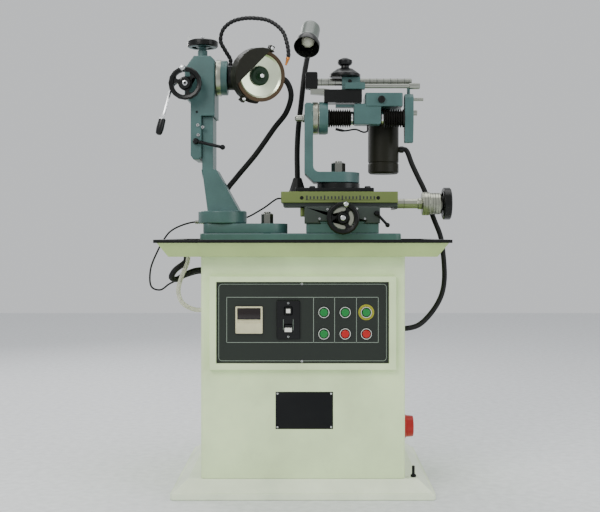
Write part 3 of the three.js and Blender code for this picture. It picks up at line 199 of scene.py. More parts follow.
def castEnamel(name, hexCode, rough=0.42, coat=0.18, shine=0.5):
    # paint over filled cast iron: broader waves, small pits and rubbed patches
    made = Finish(name, Coat_Roughness=0.3, Coat_Weight=coat, Specular_IOR_Level=shine)
    base = tone(hexCode)
    wave = made.noise(14, 5, 0.6)
    pit = made.node("ShaderNodeTexVoronoi", {}, {"Vector": made.place, "Scale": 190}, "Distance")
    rubbed = made.node("ShaderNodeMapRange", {}, {
        "Value": made.noise(9, 8, 0.75), "From Min": 0.6, "From Max": 0.72}, "Result")
    body = made.ramp(wave, [(0.28, shade(base, 0.8)), (0.72, shade(base, 1.12))])
    body = made.mix(rubbed * 0.35, body, (*shade(base, 1.7), 1))
    made.set("Base Color", body)
    made.set("Roughness", rough + wave * 0.16 - 0.08)
    made.bump(made.noise(300, 3) * 0.7 + pit * 0.5 + wave * 1.2, 0.22, 0.0008)
    return made.material


def brightSteel(name, hexCode, rough=0.24, lines=(900, 12, 900)):
    # ground steel: fine streaks across the stretched noise, faint oil stain
    made = Finish(name, metallic=1.0)
    base = tone(hexCode)
    streak = made.noise(1, 4, 0.6, made.stretched(lines))
    stain = made.noise(18, 4)
    made.set("Base Color", made.mix(stain * 0.5, (*base, 1), (*shade(base, 0.66), 1)))
    made.set("Roughness", rough + streak * 0.22 - 0.06 + stain * 0.08)
    made.bump(streak, 0.08, 0.0003)
    return made.material


def mouldedPlastic(name, hexCode, rough=0.35, grain=0.06, shine=0.5):
    made = Finish(name, Specular_IOR_Level=shine)
    base = tone(hexCode)
    cloud = made.noise(40, 3)
    made.set("Base Color", made.ramp(cloud, [(0.3, shade(base, 0.9)), (0.7, shade(base, 1.06))]))
    made.set("Roughness", rough + cloud * 0.1)
    made.bump(made.noise(900, 2), grain, 0.0003)
    return made.material


def hoseRubber(name, hexCode="101110", rough=0.46):
    made = Finish(name, Specular_IOR_Level=0.25)
    base = tone(hexCode)
    dust = made.noise(55, 5, 0.7)
    made.set("Base Color", made.ramp(dust, [(0.4, base), (0.8, shade(base, 1.8))]))
    made.set("Roughness", rough + dust * 0.2)
    made.bump(made.noise(700, 2), 0.1, 0.0004)
    return made.material


castingPaint = castEnamel("castingPaint", "395c5a")
creamPaint = enamel("creamPaint", "def3bc")
footPaint = enamel("footPaint", "ecf8da")
trayPaint = enamel("trayPaint", "b2ca80", 0.4)
slatePaint = enamel("slatePaint", "0c180d", 0.46, 0.08, 0.05)
blackEnamel = castEnamel("blackEnamel", "0a0c0b", 0.26, 0.12, 0.22)
guardPaint = castEnamel("guardPaint", "1b1b11", 0.44, 0.04, 0.18)
lampPaint = enamel("lampPaint", "4a544c", 0.34, 0.08)
khakiGround = brightSteel("khakiGround", "7e8c58", 0.4, (14, 400, 900))
groundSteel = brightSteel("groundSteel", "c3c6c6", 0.22)
dialSteel = brightSteel("dialSteel", "a9ab9d", 0.22, (700, 30, 30))
blackSteel = brightSteel("blackSteel", "2a2b2c", 0.36)
nutSteel = brightSteel("nutSteel", "84867f", 0.16)
polishedChrome = brightSteel("polishedChrome", "e2e3e4", 0.08, (60, 60, 60))
hoseBlack = hoseRubber("hoseBlack")
bellowsBlack = hoseRubber("bellowsBlack", "141311", 0.4)
plasticBlack = mouldedPlastic("plasticBlack", "0f1011", 0.26, 0.06, 0.3)
plasticWhite = mouldedPlastic("plasticWhite", "e9e8df", 0.35)
plasticRed = mouldedPlastic("plasticRed", "b01109", 0.25)
plasticGreen = mouldedPlastic("plasticGreen", "0e7a34", 0.25)
plasticYellow = mouldedPlastic("plasticYellow", "9c9a1c", 0.35)
# white for the thin button rings, and for the painted highlights on the hand wheel rims
whiteTrimAndGlint = mouldedPlastic("whiteTrimAndGlint", "dfe4dc", 0.5)
inkDark = mouldedPlastic("inkDark", "26282a", 0.5)
brassOrange = brightSteel("brassOrange", "c98244", 0.32)
tubeClear = Finish("tubeClear", Transmission_Weight=0.55, IOR=1.46)
tubeHaze = tubeClear.noise(30, 4)
tubeClear.set("Base Color", tubeClear.ramp(tubeHaze, [(0.3, tone("d9d8c4")), (0.7, tone("eceadc"))]))
tubeClear.set("Roughness", 0.18 + tubeHaze * 0.2)
tubeClear = tubeClear.material
print("finishes made:", len(bpy.data.materials))


# making meshes
def finished(name, shape, finishes, body, replaces=(), angle=38, flip=False):
    # turns a bmesh into a piece with smooth faces and sharp corners, riding on a body
    if flip:
        bmesh.ops.recalc_face_normals(shape, faces=shape.faces)
    mesh = bpy.data.meshes.new(name)
    shape.to_mesh(mesh)
    shape.free()
    for finish in finishes if isinstance(finishes, (list, tuple)) else [finishes]:
        mesh.materials.append(finish)
    mesh.polygons.foreach_set("use_smooth", [True] * len(mesh.polygons))
    mesh.set_sharp_from_angle(angle=math.radians(angle))
    piece = bpy.data.objects.new(name, mesh)
    scene.collection.objects.link(piece)
    if body:
        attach(piece, body)
    if replaces:
        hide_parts(*replaces)
    return piece


def along(axis, at):
    # the matrix that lays a piece built along Z onto an axis, at a point in millimetres
    if isinstance(axis, Matrix):
        turn = axis
    elif axis == "x":
        turn = Matrix(((0, 0, 1, 0), (0, 1, 0, 0), (-1, 0, 0, 0), (0, 0, 0, 1)))
    elif axis == "y":
        turn = Matrix(((1, 0, 0, 0), (0, 0, 1, 0), (0, -1, 0, 0), (0, 0, 0, 1)))
    else:
        turn = Matrix.Identity(4)
    return Matrix.Translation(Vector(at) * mm) @ turn


def frontward(at):
    # the same for a piece that stands out of a front face
    return along("y", at) @ Matrix.Rotation(math.pi, 4, "Y")


def turnInto(shape, stations, matrix, steps=72, closed=False, marks=(0,)):
    # adds a turned form to a bmesh; marks gives a material number for each span
    rings = []
    for radius, distance in stations:
        if radius < 1e-6:
            rings.append([shape.verts.new(matrix @ Vector((0, 0, distance * mm)))])
            continue
        rings.append([shape.verts.new(matrix @ Vector((
            radius * mm * math.cos(2 * math.pi * i / steps), radius * mm * math.sin(2 * math.pi * i / steps),
            distance * mm))) for i in range(steps)])
    spans = list(zip(rings, rings[1:])) + ([(rings[-1], rings[0])] if closed else [])
    for number, (low, high) in enumerate(spans):
        for i in range(steps):
            j = (i + 1) % steps
            corners = (low[i % len(low)], low[j % len(low)], high[j % len(high)], high[i % len(high)])
            unique = list(dict.fromkeys(corners))
            if len(unique) > 2:
                shape.faces.new(unique).material_index = marks[number % len(marks)]
    if not closed:
        if len(rings[0]) > 1:
            shape.faces.new(list(reversed(rings[0]))).material_index = marks[0]
        if len(rings[-1]) > 1:
            shape.faces.new(rings[-1]).material_index = marks[-1]


def bandInto(shape, matrix, inner, outer, low, high, steps):
    # a ring with a rectangular section
    turnInto(shape, [(inner, low), (outer, low), (outer, high), (inner, high)], matrix, steps, closed=True)


def hexInto(shape, corners, low, high, matrix, chamfer=1.2):
    # a nut, given by the width across its corners
    turnInto(shape, [(corners / 2, low), (corners / 2, high - chamfer), (corners / 2 - chamfer * 1.6, high)], matrix, 6)


def rounded(stations):
    # softens each inner corner of a list of stations with a small arc
    largest = 0.8
    result = [stations[0]]
    for before, here, after in zip(stations, stations[1:], stations[2:]):
        here = Vector(here)
        a = Vector(before) - here
        b = Vector(after) - here
        reach = min(largest, a.length * 0.4, b.length * 0.4)
        start = here + a.normalized() * reach
        end = here + b.normalized() * reach
        for t in (0, 0.5, 1):
            result.append(tuple(start * (1 - t) ** 2 + here * 2 * t * (1 - t) + end * t ** 2))
    result.append(stations[-1])
    return result


def softened(nodeName, finishes, width, segments=2, paint=None, inner=True):
    # a copy of a CAD node with its sharp corners rounded, standing for that node; paint tells the number of
    # the finish at a place, where yes is the second one
    source = nodes[nodeName]
    shape = bmesh.new()
    shape.from_mesh(source.data)
    bmesh.ops.remove_doubles(shape, verts=shape.verts, dist=1e-5)
    bmesh.ops.dissolve_limit(shape, angle_limit=math.radians(1.5), verts=shape.verts, edges=shape.edges)
    if width:
        edges = [e for e in shape.edges if len(e.link_faces) == 2 and e.calc_face_angle() > math.radians(33)
                 and (inner or e.is_convex)]
        bmesh.ops.bevel(shape, geom=edges, offset=width * mm, segments=segments, profile=0.5,
                        affect="EDGES", clamp_overlap=False, material=-1)
    if paint:
        for face in shape.faces:
            face.material_index = int(paint(face.calc_center_median() / mm))
    piece = finished(nodeName + "Cast", shape, finishes, source["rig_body"], (nodeName,), angle=44)
    piece.modifiers.new("evenNormals", "WEIGHTED_NORMAL").keep_sharp = True
    return piece


def boxInto(shape, x0, x1, y0, y1, z0, z1, matrix=None, mark=0, bevel=0.0):
    made = bmesh.ops.create_cube(shape, size=1)["verts"]
    for vert in made:
        place = Vector(((x0 + x1) / 2 + vert.co.x * (x1 - x0), (y0 + y1) / 2 + vert.co.y * (y1 - y0),
                        (z0 + z1) / 2 + vert.co.z * (z1 - z0))) * mm
        vert.co = matrix @ place if matrix else place
    faces = {face for vert in made for face in vert.link_faces}
    for face in faces:
        face.material_index = mark
    if bevel:
        edges = list({edge for vert in made for edge in vert.link_edges})
        bmesh.ops.bevel(shape, geom=edges, offset=bevel * mm, segments=2, profile=0.5, affect="EDGES",
                        material=-1)


# a smooth centre line, in millimetres, through the points of a route
def centreLine(route, spacing=6.0):
    points = [Vector(p) for p in route]
    padded = [points[0] * 2 - points[1]] + points + [points[-1] * 2 - points[-2]]
    line = []
    for a, b, c, d in zip(padded, padded[1:], padded[2:], padded[3:]):
        count = max(2, int((c - b).length / spacing))
        ta, tb = 0.0, math.sqrt((b - a).length)
        tc = tb + math.sqrt((c - b).length)
        td = tc + math.sqrt((d - c).length)
        for i in range(count):
            t = tb + (tc - tb) * i / count
            a1 = a * ((tb - t) / (tb - ta)) + b * ((t - ta) / (tb - ta))
            a2 = b * ((tc - t) / (tc - tb)) + c * ((t - tb) / (tc - tb))
            a3 = c * ((td - t) / (td - tc)) + d * ((t - tc) / (td - tc))
            b1 = a1 * ((tc - t) / (tc - ta)) + a2 * ((t - ta) / (tc - ta))
            b2 = a2 * ((td - t) / (td - tb)) + a3 * ((t - tb) / (td - tb))
            line.append(b1 * ((tc - t) / (tc - tb)) + b2 * ((t - tb) / (tc - tb)))
    line.append(points[-1])
    return line


def lineLength(line):
    return sum((b - a).length for a, b in zip(line, line[1:]))


def sweep(shape, line, radii, sides=20):
    # a tube of changing radius whose rings don't twist along the line
    tangents = [(line[min(len(line) - 1, i + 1)] - line[max(0, i - 1)]).normalized() for i in range(len(line))]
    normal = tangents[0].orthogonal().normalized()
    rings = []
    for i, point in enumerate(line):
        if i:
            turn = tangents[i - 1].rotation_difference(tangents[i])
            normal = (turn @ normal).normalized()
        side = tangents[i].cross(normal)
        radius = radii(i / (len(line) - 1)) if callable(radii) else radii
        rings.append([shape.verts.new((point + (normal * math.cos(2 * math.pi * k / sides)
                     + side * math.sin(2 * math.pi * k / sides)) * radius) * mm) for k in range(sides)])
    for low, high in zip(rings, rings[1:]):
        for k in range(sides):
            j = (k + 1) % sides
            shape.faces.new((low[k], low[j], high[j], high[k]))
    shape.faces.new(list(reversed(rings[0])))
    shape.faces.new(rings[-1])


# cords: the routes of the solids, in millimetres, each on one smooth line
def stretch(line, low, high):
    # the part of a centre line between two shares of its length
    total = lineLength(line)
    walked = 0.0
    kept = []
    for a, b in zip(line, line[1:]):
        step = (b - a).length
        if low * total <= walked <= high * total:
            kept.append(a)
        walked += step
    kept.append(line[-1] if high >= 1 else line[line.index(kept[-1]) + 1])
    return kept


def cordPiece(name, line, cord, bodies, replaces=()):
    # one length of a cord, riding on one body, or on none when it is given two
    shape = bmesh.new()
    sweep(shape, line, cord.get("radii", cord["diameter"] / 2 / mm), cord.get("sides", 24))
    rides = bodies if isinstance(bodies, str) else None
    piece = finished(name, shape, cord.get("finish", hoseBlack), rides, replaces, angle=60)
    if not rides:
        span = line[-1] - line[0]
        (line[0] + span * 0.04) * mm
        (line[-1] - span * 0.04) * mm
        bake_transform(piece)
    line[0] * mm
    lineLength(line) * mm
    [p * mm for p in line]


def hangCord(node, cord):
    # a cord cut at shares of its length; its first piece stands for the solid
    line = centreLine(cord["route"], cord.get("spacing", 6))
    cuts = cord.get("cuts", [0, 1])
    replaces = (node,)
    for (name, bodies), low, high in zip(cord["pieces"].items(), cuts, cuts[1:]):
        cordPiece(name, stretch(line, low, high), cord, bodies, replaces)
        replaces = ()


def segmentRadius(t):
    # ball-and-socket segments: each one swells, tapers and tucks into the next
    share = coolantLine["share"]
    within = (t * coolantLine["segments"]) % 1
    if within < share:
        return coolantLine["wide"] - 0.5 * abs(within - 0.3)
    return coolantLine["neck"] + 0.9 * abs(math.cos((within - share) / (1 - share) * math.pi))


motorCable = {"diameter": 0.016, "stiffness": "stiff", "cuts": [0, 0.3, 0.55, 1], "pieces": {
    "motorCableUpper": ("grinding_head", "quill"), "motorCableMiddle": ("quill", "head"),
    "motorCableLower": ("head", "column")}, "route": [
    (-100.5, -55.8, 1148.4), (-80, -46.8, 1149), (-52, -34, 1142), (-36, -16, 1106), (-50, 6, 1056), (-85, 24, 1012),
    (-142, 46, 935), (-200, 52, 866), (-226, 40, 829), (-226, 40, 806.3)]}
# its top end slips 6 mm in the collar on the motor, so the carriage slide needs no stretch of its own
supplyHose = {"diameter": 0.015, "stiffness": "stiff", "cuts": [0, 0.145, 0.29, 0.435, 0.58, 1], "pieces": {
    "supplyHose1": ("arm", "bracket_body"), "supplyHose2": ("bracket_body", "table_body"),
    "supplyHose3": ("table_body", "saddle_body"), "supplyHose4": ("saddle_body", "stand"),
    "supplyHoseLower": "stand"}, "route": [
    (289.8, 56, 950), (303, 56, 949.8), (322, 54, 906), (340, 52, 867), (359, 50, 827), (384, 50, 750),
    (405, 50, 696), (412, 50, 658), (415, 32, 565), (402, 14, 515), (370, -8, 468), (332, -34, 437), (298, -50, 429),
    (272.4, -50, 429)]}
drainHose = {"diameter": 0.016, "stiffness": "stiff", "pieces": {"drainHoseLoop": "stand"}, "route": [
    (-325, -135, 638.8), (-326, -135, 624), (-357, -136, 598), (-368, -126, 578), (-356, -112, 572),
    (-331, -104, 586), (-300, -100, 597), (-272.4, -100, 597)]}
clearTube = {"diameter": 0.012, "stiffness": "medium", "pieces": {"clearTubeLoop": "stand"},
             "finish": tubeClear, "slot": "clear_plastic", "route": [
    (-316, -170, 638.8), (-317, -170, 624), (-337, -174, 572), (-343, -170, 539), (-332, -160, 508),
    (-300, -150, 490), (-272.4, -150, 490)]}
lampLead = {"diameter": 0.005, "stiffness": "medium", "sides": 14, "spacing": 4, "cuts": [0, 0.13, 0.26, 1], "pieces": {
    "lampLeadTable": ("table_body", "saddle_body"), "lampLeadSaddle": ("saddle_body", "stand"),
    "lampLeadStand": "stand"}, "route": [
    (-63.5, 20, 803), (-76, 20, 803), (-120, 47, 775), (-170, 52, 748), (-206, 53, 740), (-260, 54, 736),
    (-329, 54, 734), (-368, 44, 722), (-392, 20, 706), (-404, 0, 688), (-421, -20, 653), (-440, -40, 596),
    (-434, -58, 548), (-408, -68, 540), (-376, -78, 560), (-300, -82, 588), (-272.4, -82, 588)]}
coolantLine = {"diameter": 0.0125, "stiffness": "stiff", "far": "fitting", "finish": plasticBlack,
               "slot": "black_plastic", "sides": 28, "radii": segmentRadius, "segments": 34, "share": 0.62,
               "wide": 6.1, "neck": 4.6, "nozzle": 22, "route": [
    (-209.8, -42.5, 1182.3), (-209.8, -43.5, 1200), (-224, -52, 1225), (-236, -62, 1249), (-229, -74, 1279),
    (-205, -84, 1299), (-170, -96, 1307), (-130, -108, 1305), (-94, -120, 1295), (-59, -135, 1265), (-46, -146, 1231),
    (-41, -152, 1193), (-48, -152, 1166)]}
hangCord("motor_cable", motorCable)
hangCord("motor_supply_hose", supplyHose)
hangCord("lamp_cable", lampLead)
hangCord("drain_hose", drainHose)
hangCord("clear_tube", clearTube)

# the jointed line and its brass nozzle: a collar, then a cone that ends in a short straight mouth
nozzleSizes = {"collar": 5.6, "collarShare": 0.25, "cone": 5.2, "taper": 2.4, "mouthAt": 1 / 1.15}


def nozzleRadius(t):
    if t <= nozzleSizes["collarShare"]:
        return nozzleSizes["collar"]
    return nozzleSizes["cone"] - nozzleSizes["taper"] * min(1, t / nozzleSizes["mouthAt"])


line = centreLine(coolantLine["route"], 1.15)
share = 1 - coolantLine["nozzle"] / lineLength(line)
shape = bmesh.new()
sweep(shape, stretch(line, share, 1), nozzleRadius, 28)
nozzle = finished("coolantNozzle", shape, brassOrange, "grinding_head", angle=50)
cordPiece("coolantSegments", stretch(line, 0, share), coolantLine, "grinding_head", ("coolant_hose",))

collar = {"at": (284.6, 56, 950), "length": 12.2, "inner": 8.1, "outer": 10, "edge": 1}
relief = {"at": (-322, 54, 734.6), "length": 26, "ribs": 5, "hole": 2.9, "radius": 5.6, "groove": 1.3}
length, inner, outer, edge = collar["length"], collar["inner"], collar["outer"], collar["edge"]
shape = bmesh.new()
turnInto(shape, [(inner, 0), (outer, 0), (outer, length - edge), (outer - edge, length), (inner, length)],
         along("x", collar["at"]), 40, closed=True)
finished("hoseCollar", shape, plasticBlack, "carriage_body", flip=True)


def leadRelief():
    # a ribbed sleeve that holds the lamp lead behind the column
    pitch, outer = relief["length"] / relief["ribs"], relief["radius"]
    valley = outer - relief["groove"]
    stations = [(relief["hole"], 0)]
    for i in range(relief["ribs"]):
        stations += [(radius, pitch * (i + share))
                     for radius, share in ((valley, 0.04), (outer, 0.2), (outer, 0.66), (valley, 0.82))]
    stations.append((relief["hole"], relief["length"]))
    shape = bmesh.new()
    turnInto(shape, stations, along("x", relief["at"]), 32, closed=True)
    finished("leadRelief", shape, nutSteel, "stand", angle=50, flip=True)


leadRelief()
print("cords made")


# outlines, in millimetres
def arc(cx, cy, radius, start, end, count):
    angles = [math.radians(start + (end - start) * i / count) for i in range(count + 1)]
    return [(cx + radius * math.cos(a), cy + radius * math.sin(a)) for a in angles]


def roundedFrame(x0, x1, y0, y1, radius, count):
    corners = ((x1 - radius, y0 + radius), (x1 - radius, y1 - radius), (x0 + radius, y1 - radius),
               (x0 + radius, y0 + radius))
    return [point for i, (x, y) in enumerate(corners) for point in arc(x, y, radius, 90 * i - 90, 90 * i, count)]


def raised(points, low, high, edge):
    # an outline raised along Z, its rims rounded
    shape = bmesh.new()
    bottom, top = [[shape.verts.new(Vector((u, v, w)) * mm) for u, v in points] for w in (low, high)]
    faces = [shape.faces.new(bottom), shape.faces.new(top)]
    for i in range(len(points)):
        j = (i + 1) % len(points)
        faces.append(shape.faces.new((bottom[i], bottom[j], top[j], top[i])))
    bmesh.ops.recalc_face_normals(shape, faces=faces)
    bmesh.ops.bevel(shape, geom=list(set(faces[0].edges) | set(faces[1].edges)), offset=edge * mm, segments=3,
                    profile=0.5, affect="EDGES", clamp_overlap=True, material=-1)
    return shape


def boxOf(node):
    low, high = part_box(node)
    return [v / mm for v in low], [v / mm for v in high]


# foot, cabinet, tray and bed
softened("foot", footPaint, 2.2, 3)
softened("cabinet", creamPaint, 1.2, 2)
softened("rear_cover", creamPaint, 0.4, 1)
trayLow, trayHigh = boxOf("tray")
rimBand = {"height": 8.5, "out": 0.4, "thick": 1.2, "above": 0.3, "inside": 5.2}
softened("tray", [trayPaint, blackEnamel], 0.8, 2,
         paint=lambda at: at[2] > trayHigh[2] - rimBand["inside"])


def trayRim():
    # a black edge strip round the tray's lip
    out, thick = rimBand["out"], rimBand["thick"]
    x0, y0, x1, y1 = trayLow[0] - out, trayLow[1] - out, trayHigh[0] + out, trayHigh[1] + out
    high = trayHigh[2] + rimBand["above"]
    band = bmesh.new()
    for left, right, front, back in ((x0, x1, y0, y0 + thick), (x0, x1, y1 - thick, y1),
                                     (x0, x0 + thick, y0 + out, y1 - out), (x1 - thick, x1, y0 + out, y1 - out)):
        boxInto(band, left, right, front, back, high - rimBand["height"], high, bevel=0.25)
    finished("trayRim", band, blackEnamel, "stand")


trayRim()
softened("bed", castingPaint, 1.6, 2)
bolt = {"at": (295, -245, 0), "radius": 3.9, "nut": 15, "seat": 50.3, "nutHeight": 7}
boltLow, boltHigh = boxOf("levelling_bolt")
shape = bmesh.new()
turnInto(shape, rounded([(bolt["radius"], boltLow[2]), (bolt["radius"], boltHigh[2] - 1),
                         (bolt["radius"] - 1, boltHigh[2])]), along("z", bolt["at"]), 32)
hexInto(shape, bolt["nut"], bolt["seat"], bolt["seat"] + bolt["nutHeight"], along("z", bolt["at"]))
finished("levellingBolt", shape, blackSteel, "stand", ("levelling_bolt",), flip=True)
print("cabinet made")

# left column: a pad with one round end and two rounded corners, the post and the nuts
pad = {"radius": 58.5, "corner": 20, "left": -284, "edge": 1.8}
padLow, padHigh = boxOf("column_pad")
columnX, columnY = -104, -41.5
r, c = pad["radius"], pad["corner"]
padShape = raised(arc(columnX, columnY, r, -90, 90, 48)
                  + arc(pad["left"] + c, columnY + r - c, c, 90, 180, 10)
                  + arc(pad["left"] + c, columnY - r + c, c, 180, 270, 10), padLow[2], padHigh[2], pad["edge"])
finished("columnPadCast", padShape, castingPaint, "column", ("column_pad",))
softened("column_post", castingPaint, 1.8, 3)
# heights are measured down from the top of the stud
stud = {"radius": 10, "nutLow": 30.5, "nutHigh": 2, "chamfer": 3, "washer": 3, "overhang": 1.5}


def studPiece(name, node, at, corners, body):
    # a hexagon nut and its washer round a stud with a domed end
    low, high = boxOf(node)
    radius, top = stud["radius"], high[2]
    shape = bmesh.new()
    place = along("z", (*at, 0))
    turnInto(shape, rounded([(radius, low[2]), (radius, top + 1.2), (radius - 1.4, top + 2)]), place, 48)
    hexInto(shape, corners, top - stud["nutLow"], top - stud["nutHigh"], place, stud["chamfer"])
    washer = corners / 2 + stud["overhang"]
    seat = top - stud["nutLow"] - 0.1
    turnInto(shape, [(washer, seat - stud["washer"]), (washer, seat)], place, 64)
    finished(name, shape, nutSteel, body, (node,), flip=True)


studPiece("columnNut", "column_nut", (columnX, columnY), 34.6, "stand")
studPiece("bracketNut", "bracket_nut", (101, -20), 41, "table_body")
print("column made")

# finishes of the moving parts
saddleDark = enamel("saddleDark", "26322c", 0.38)
hubGreen = castEnamel("hubGreen", "0d2a14", 0.34, 0.06, 0.2)
barSteel = brightSteel("barSteel", "a3a69d", 0.2, (30, 600, 600))
wheelAluminium = brightSteel("wheelAluminium", "e6f0d2", 0.24, (220, 220, 220))
abrasiveStone = castEnamel("abrasiveStone", "46351f", 0.8, 0.0)
frostedGlass = mouldedPlastic("frostedGlass", "e6e6d2", 0.22, 0.0)


def boltsInto(shape, places, y, radius, height, marks=(0, 1)):
    # socket screws on a front face: chamfered heads whose sockets are painted darker, as painted shade in the recess
    socket = radius * 0.5
    for x, z in places:
        matrix = frontward((x, y, z))
        turnInto(shape, [(radius, -0.6), (radius, height - radius * 0.18), (radius * 0.85, height), (socket, height)],
                 matrix, 28, marks=marks[:1])
        turnInto(shape, [(socket, height + 0.02), (radius * 0.46, height - radius * 0.4)], matrix, 6, marks=marks[1:])


def screwPiece(name, places, y, radius, height, body):
    shape = bmesh.new()
    boltsInto(shape, places, y, radius, height)
    finished(name, shape, [polishedChrome, blackEnamel], body)


# head casting with its fittings; "step" is how far its field lies behind its front
headSizes = {"corner": 1.6, "step": 8, "hole": (-300, 1043), "holeRadius": 3.4,
             "screws": [(-297, 1006), (-283, 1000), (-296, 978)], "screwRadius": 4.6}
softened("head_casting", castingPaint, headSizes["corner"], 3)
front = boxOf("head_casting")[0][1] + headSizes["step"]
shape = bmesh.new()
# the hole is drawn as a black disc: painted shade where the hole is
boltsInto(shape, [headSizes["hole"]], front - 0.2, headSizes["holeRadius"], 0.8, (1, 1))
boltsInto(shape, headSizes["screws"], front, headSizes["screwRadius"], 4)
finished("headScrews", shape, [polishedChrome, blackEnamel], "head")

# hand wheels: black castings with a bright hub ring and a bright knob; "sleeve" is the height along the axis
# below which a wheel has another finish, and the number of that finish
handWheels = {
    "lift_wheel": {"axis": "z", "at": (-294.5, 4, 1253), "radius": 45, "thick": 20, "marks": 24, "sleeve": (1244, 3)},
    "feed_wheel": {"axis": "y", "at": (-328, -130, 1118), "radius": 46.5, "thick": 17},
    "cross_wheel": {"axis": "y", "at": (110, -143, 743), "radius": 47, "thick": 22, "dial": (31, -3, 5)},
    "table_wheel": {"axis": "x", "at": (402.3, -20, 787), "radius": 46.5, "thick": 24, "sleeve": (400.3, 2)},
}
knob = {"inside": 18, "rise": 24}


def handWheelDressed(nodeName, wheel):
    axis = "xyz".index(wheel["axis"])
    below, sleeve = wheel.get("sleeve", (-math.inf, 0))

    def paint(at):
        if at[axis] < below:
            return sleeve
        offset = [at[i] - wheel["at"][i] for i in range(3)]
        rise = offset.pop(axis)
        return math.hypot(*offset) > wheel["radius"] - knob["inside"] and abs(rise) > knob["rise"]

    softened(nodeName, [blackEnamel, polishedChrome, dialSteel, castingPaint], 0.7, 2, paint=paint)
    shape = bmesh.new()
    matrix = frontward(wheel["at"]) if wheel["axis"] == "y" else along(wheel["axis"], wheel["at"])
    radius, top = wheel["radius"], wheel["thick"]
    ring = [(7, -0.4), (7, 0.5), (6.2, 0.9), (3.6, 0.9), (3.4, -1.5), (3.2, -2)]
    turnInto(shape, [(r, top + rise) for r, rise in ring], matrix, 48, marks=(0, 0, 0, 0, 1))
    # white ticks round the top of the rim: painted highlights that stand for the glints on its knurling
    for i in range(wheel.get("marks", 0)):
        spot = matrix @ Matrix.Rotation(2 * math.pi * i / wheel["marks"], 4, "Z")
        boxInto(shape, radius - 4, radius - 0.8, -0.5, 0.5, top - 2.2, top - 0.7, spot, 2)
    if "dial" in wheel:
        outer, low, high = wheel["dial"]
        turnInto(shape, [(10, low), (outer - 1, low), (outer, low + 1), (outer, high - 1), (outer - 1, high),
                         (10, high)], matrix, 72, closed=True, marks=(3,))
    finished(nodeName.replace("_wheel", "WheelTrim"), shape, [polishedChrome, blackEnamel, whiteTrimAndGlint, dialSteel],
             nodes[nodeName]["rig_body"], flip=True)


for nodeName, wheel in handWheels.items():
    handWheelDressed(nodeName, wheel)

leverKnobTop = 1021
softened("feed_lever", [polishedChrome, plasticBlack], 0, paint=lambda at: at[2] < leverKnobTop)
softened("column_clamp_lever", blackSteel, 0.5)
softened("saddle_clamp_lever", blackSteel, 0.5)
print("head and hand wheels made")

# grinding head: the wheel's axis turns in plan by "turn" and nods by "nod", in radians
spin = {"centre": (-122, -130, 1140), "turn": 0.41, "nod": 0.14, "bolt": 5.6, "dish": [
    (10.4, -6), (30, -6), (60, -2), (70.6, 1.4), (71.4, 2.2), (71.5, 12.2), (70.6, 13), (65, 13), (63.4, 12.4),
    (61, 9.8), (56, 5.2), (50, 4.1), (40, 2.4), (30, 0.6), (28, 0), (10.4, 0)],
    "hub": [(26.6, 0.4), (26.6, 5), (25.2, 6.4), (14, 7.2), (13, 8.4), (10.5, 9), (9, 9)]}
spinAxis = Vector((math.sin(spin["turn"]) * math.cos(spin["nod"]), -math.cos(spin["turn"]) * math.cos(spin["nod"]),
                   -math.sin(spin["nod"]))).normalized()
lugs = {"angles": (68, 231), "out": 82, "up": 6}
quillGreyWidth = 22


def aimed(direction, at):
    # the matrix that lays Z on a direction
    return along(Vector(direction).normalized().to_track_quat("Z", "X").to_matrix().to_4x4(), at)


def wheelDressed():
    # an aluminium dish with an abrasive band round it, its green hub and its bolt
    matrix = aimed(spinAxis, spin["centre"])
    shape = bmesh.new()
    turnInto(shape, spin["dish"], matrix, 128, closed=True, marks=(2,) * 3 + (1,) * 6 + (0,) * 6 + (2,))
    finished("sawWheel", shape, [wheelAluminium, abrasiveStone, blackEnamel], "spindle",
             ("grinding_wheel",), angle=25, flip=True)
    front = max((vertex.co / mm - Vector(spin["centre"])).dot(spinAxis)
                for vertex in nodes["wheel_spindle"].data.vertices)
    bolt = spin["bolt"]
    shape = bmesh.new()
    turnInto(shape, spin["hub"], matrix)
    turnInto(shape, [(bolt + 2, front - 0.5), (bolt + 2, front + 0.6), (bolt + 1.4, front + 1)], matrix, 48)
    turnInto(shape, [(bolt, front), (bolt, front + 3), (bolt - 1, front + 4), (2.8, front + 4), (2.6, front + 2)],
             matrix, 48, marks=(1,))
    finished("wheelHub", shape, [hubGreen, polishedChrome], "spindle")


def guardLugs():
    # the two lugs of the guard with their bright screws
    shape = bmesh.new()
    for angle in lugs["angles"]:
        turn = math.radians(angle)
        side = Vector((math.cos(turn), 0, math.sin(turn)))
        side = (side - spinAxis * side.dot(spinAxis)).normalized()
        at = Vector(spin["centre"]) + side * lugs["out"] + spinAxis * lugs["up"]
        matrix = along(Matrix((side, spinAxis.cross(side), spinAxis)).transposed().to_4x4(), at)
        boxInto(shape, -8, 7, -6, 6, -10, 6, matrix, 0, 1)
        turnInto(shape, [(5.2, 5), (5.2, 9), (4.6, 11), (3, 12.2), (0, 12.6)], matrix, 32, marks=(1,))
    finished("guardLugs", shape, [guardPaint, polishedChrome], "grinding_head")


# the quill flange stays casting grey over its right end; the rest, its lit left side, is bright steel as a painted
# highlight
quillHighlightBorder = boxOf("quill_flange")[1][0] - quillGreyWidth
softened("quill_flange", [castingPaint, dialSteel], 0, paint=lambda at: at[0] < quillHighlightBorder)
softened("grinding_motor", guardPaint, 1.2, 3)
softened("guard_arm", blackSteel, 0.6)
softened("wheel_guard", guardPaint, 0.5)
softened("wheel_spindle", hubGreen, 0.6)
wheelDressed()
guardLugs()
print("grinding head made")

